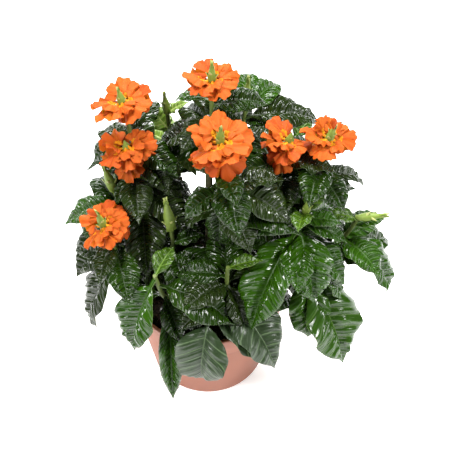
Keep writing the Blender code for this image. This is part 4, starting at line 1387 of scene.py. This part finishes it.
def make_peat(rng):
    """The peat with an uneven top and loose crumbs of bark on it."""
    radius = inner_radius(SOIL_TOP) - 0.4
    profile = [(0, PEAT_DEPTH), (inner_radius(PEAT_DEPTH) - 0.6, PEAT_DEPTH), (radius, SOIL_TOP - 1.5)]
    profile += [(radius * (1 - k / PEAT_RINGS), SOIL_TOP) for k in range(PEAT_RINGS + 1)]
    points, faces = turned_solid(profile, PEAT_FACETS)
    top = points[:, 2] > SOIL_TOP - 0.1
    points[top, 2] += rng.uniform(-2.2, 0.0, top.sum())
    peat = Surface()
    peat.add(points, padded(faces), 0)
    for _ in range(CRUMBS):
        a = rng.uniform(0, 2 * math.pi)
        r = radius * 0.95 * math.sqrt(rng.uniform())
        size = rng.uniform(0.8, 2.3)
        place = np.array([r * math.cos(a), r * math.sin(a), SOIL_TOP - 1.2])
        lump = place + CRUMB_TIPS * size * rng.uniform(0.6, 1.2, (6, 1)) + rng.normal(0, 0.2, (6, 3))
        lump[:, 2] = np.minimum(lump[:, 2], SOIL_TOP + 1.2)
        peat.add(lump, np.array(CRUMB_FACES), int(rng.uniform() < 0.25))
    dark = moist_peat("moist_peat", "#33251c", "#1a130e")
    crumb = moist_peat("bark_crumb", "#4d3827", "#2c2018")
    mesh_piece("peat", peat, [dark, crumb], ["potting_soil"])


# The studio, in metres. The camera is the one that was fitted to the pot's outline in the photograph.
IMAGE_PIXELS = 458
FOCAL_PIXELS = 1218
SENSOR_MM = 36.0
CAMERA_PLACE = (0.0168, -0.5592, 0.8290)
CAMERA_TILT = 39.5
LAMP_AIM = Vector((0, 0, 0.15))
FLOOR_REACH = 4.0

# Each lamp: name, place, width and power in watts.
LAMPS = [
    ("overhead_softbox", (0.0, 0.45, 1.35), 0.40, 27.0),
    ("left_softbox", (-0.95, -0.45, 1.15), 0.35, 21.0),
    ("right_softbox", (0.95, -0.35, 1.10), 0.35, 21.0),
    ("back_softbox", (-0.25, 1.15, 0.95), 0.35, 15.0),
]


def make_studio():
    """A camera that looks down on the plant from its front, a white floor and soft light."""
    scene = bpy.context.scene
    camera = bpy.data.cameras.new("camera")
    camera.sensor_width = SENSOR_MM
    camera.lens = SENSOR_MM * FOCAL_PIXELS / IMAGE_PIXELS
    view = bpy.data.objects.new("camera", camera)
    view.location = CAMERA_PLACE
    view.rotation_euler = (math.radians(CAMERA_TILT), 0.0, 0.0)
    scene.collection.objects.link(view)
    scene.camera = view
    scene.view_settings.view_transform = "Standard"

    world = bpy.data.worlds.new("studio")
    scene.world = world
    world.use_nodes = True
    world.node_tree.nodes["Background"].inputs["Color"].default_value = linear("#ffffff")
    world.node_tree.nodes["Background"].inputs["Strength"].default_value = 0.15
    for name, place, size, power in LAMPS:
        lamp = bpy.data.lights.new(name, "AREA")
        lamp.energy = power
        lamp.size = size
        obj = bpy.data.objects.new(name, lamp)
        obj.location = place
        obj.rotation_euler = (LAMP_AIM - obj.location).to_track_quat("-Z", "Y").to_euler()
        scene.collection.objects.link(obj)

    data = bpy.data.meshes.new("studio_floor")
    corners = [(x * FLOOR_REACH, y * FLOOR_REACH, 0) for x, y in ((-1, -1), (1, -1), (1, 1), (-1, 1))]
    data.from_pydata(corners, [], [(0, 1, 2, 3)])
    data.materials.append(opal_acrylic("opal_acrylic"))
    floor = bpy.data.objects.new("studio_floor", data)
    scene.collection.objects.link(floor)


grow()
make_leaves(np.random.default_rng(SEED))
make_flowers(np.random.default_rng(SEED + 1))
make_limbs(np.random.default_rng(SEED + 2))
make_pot()
make_peat(np.random.default_rng(SEED + 3))
make_studio()
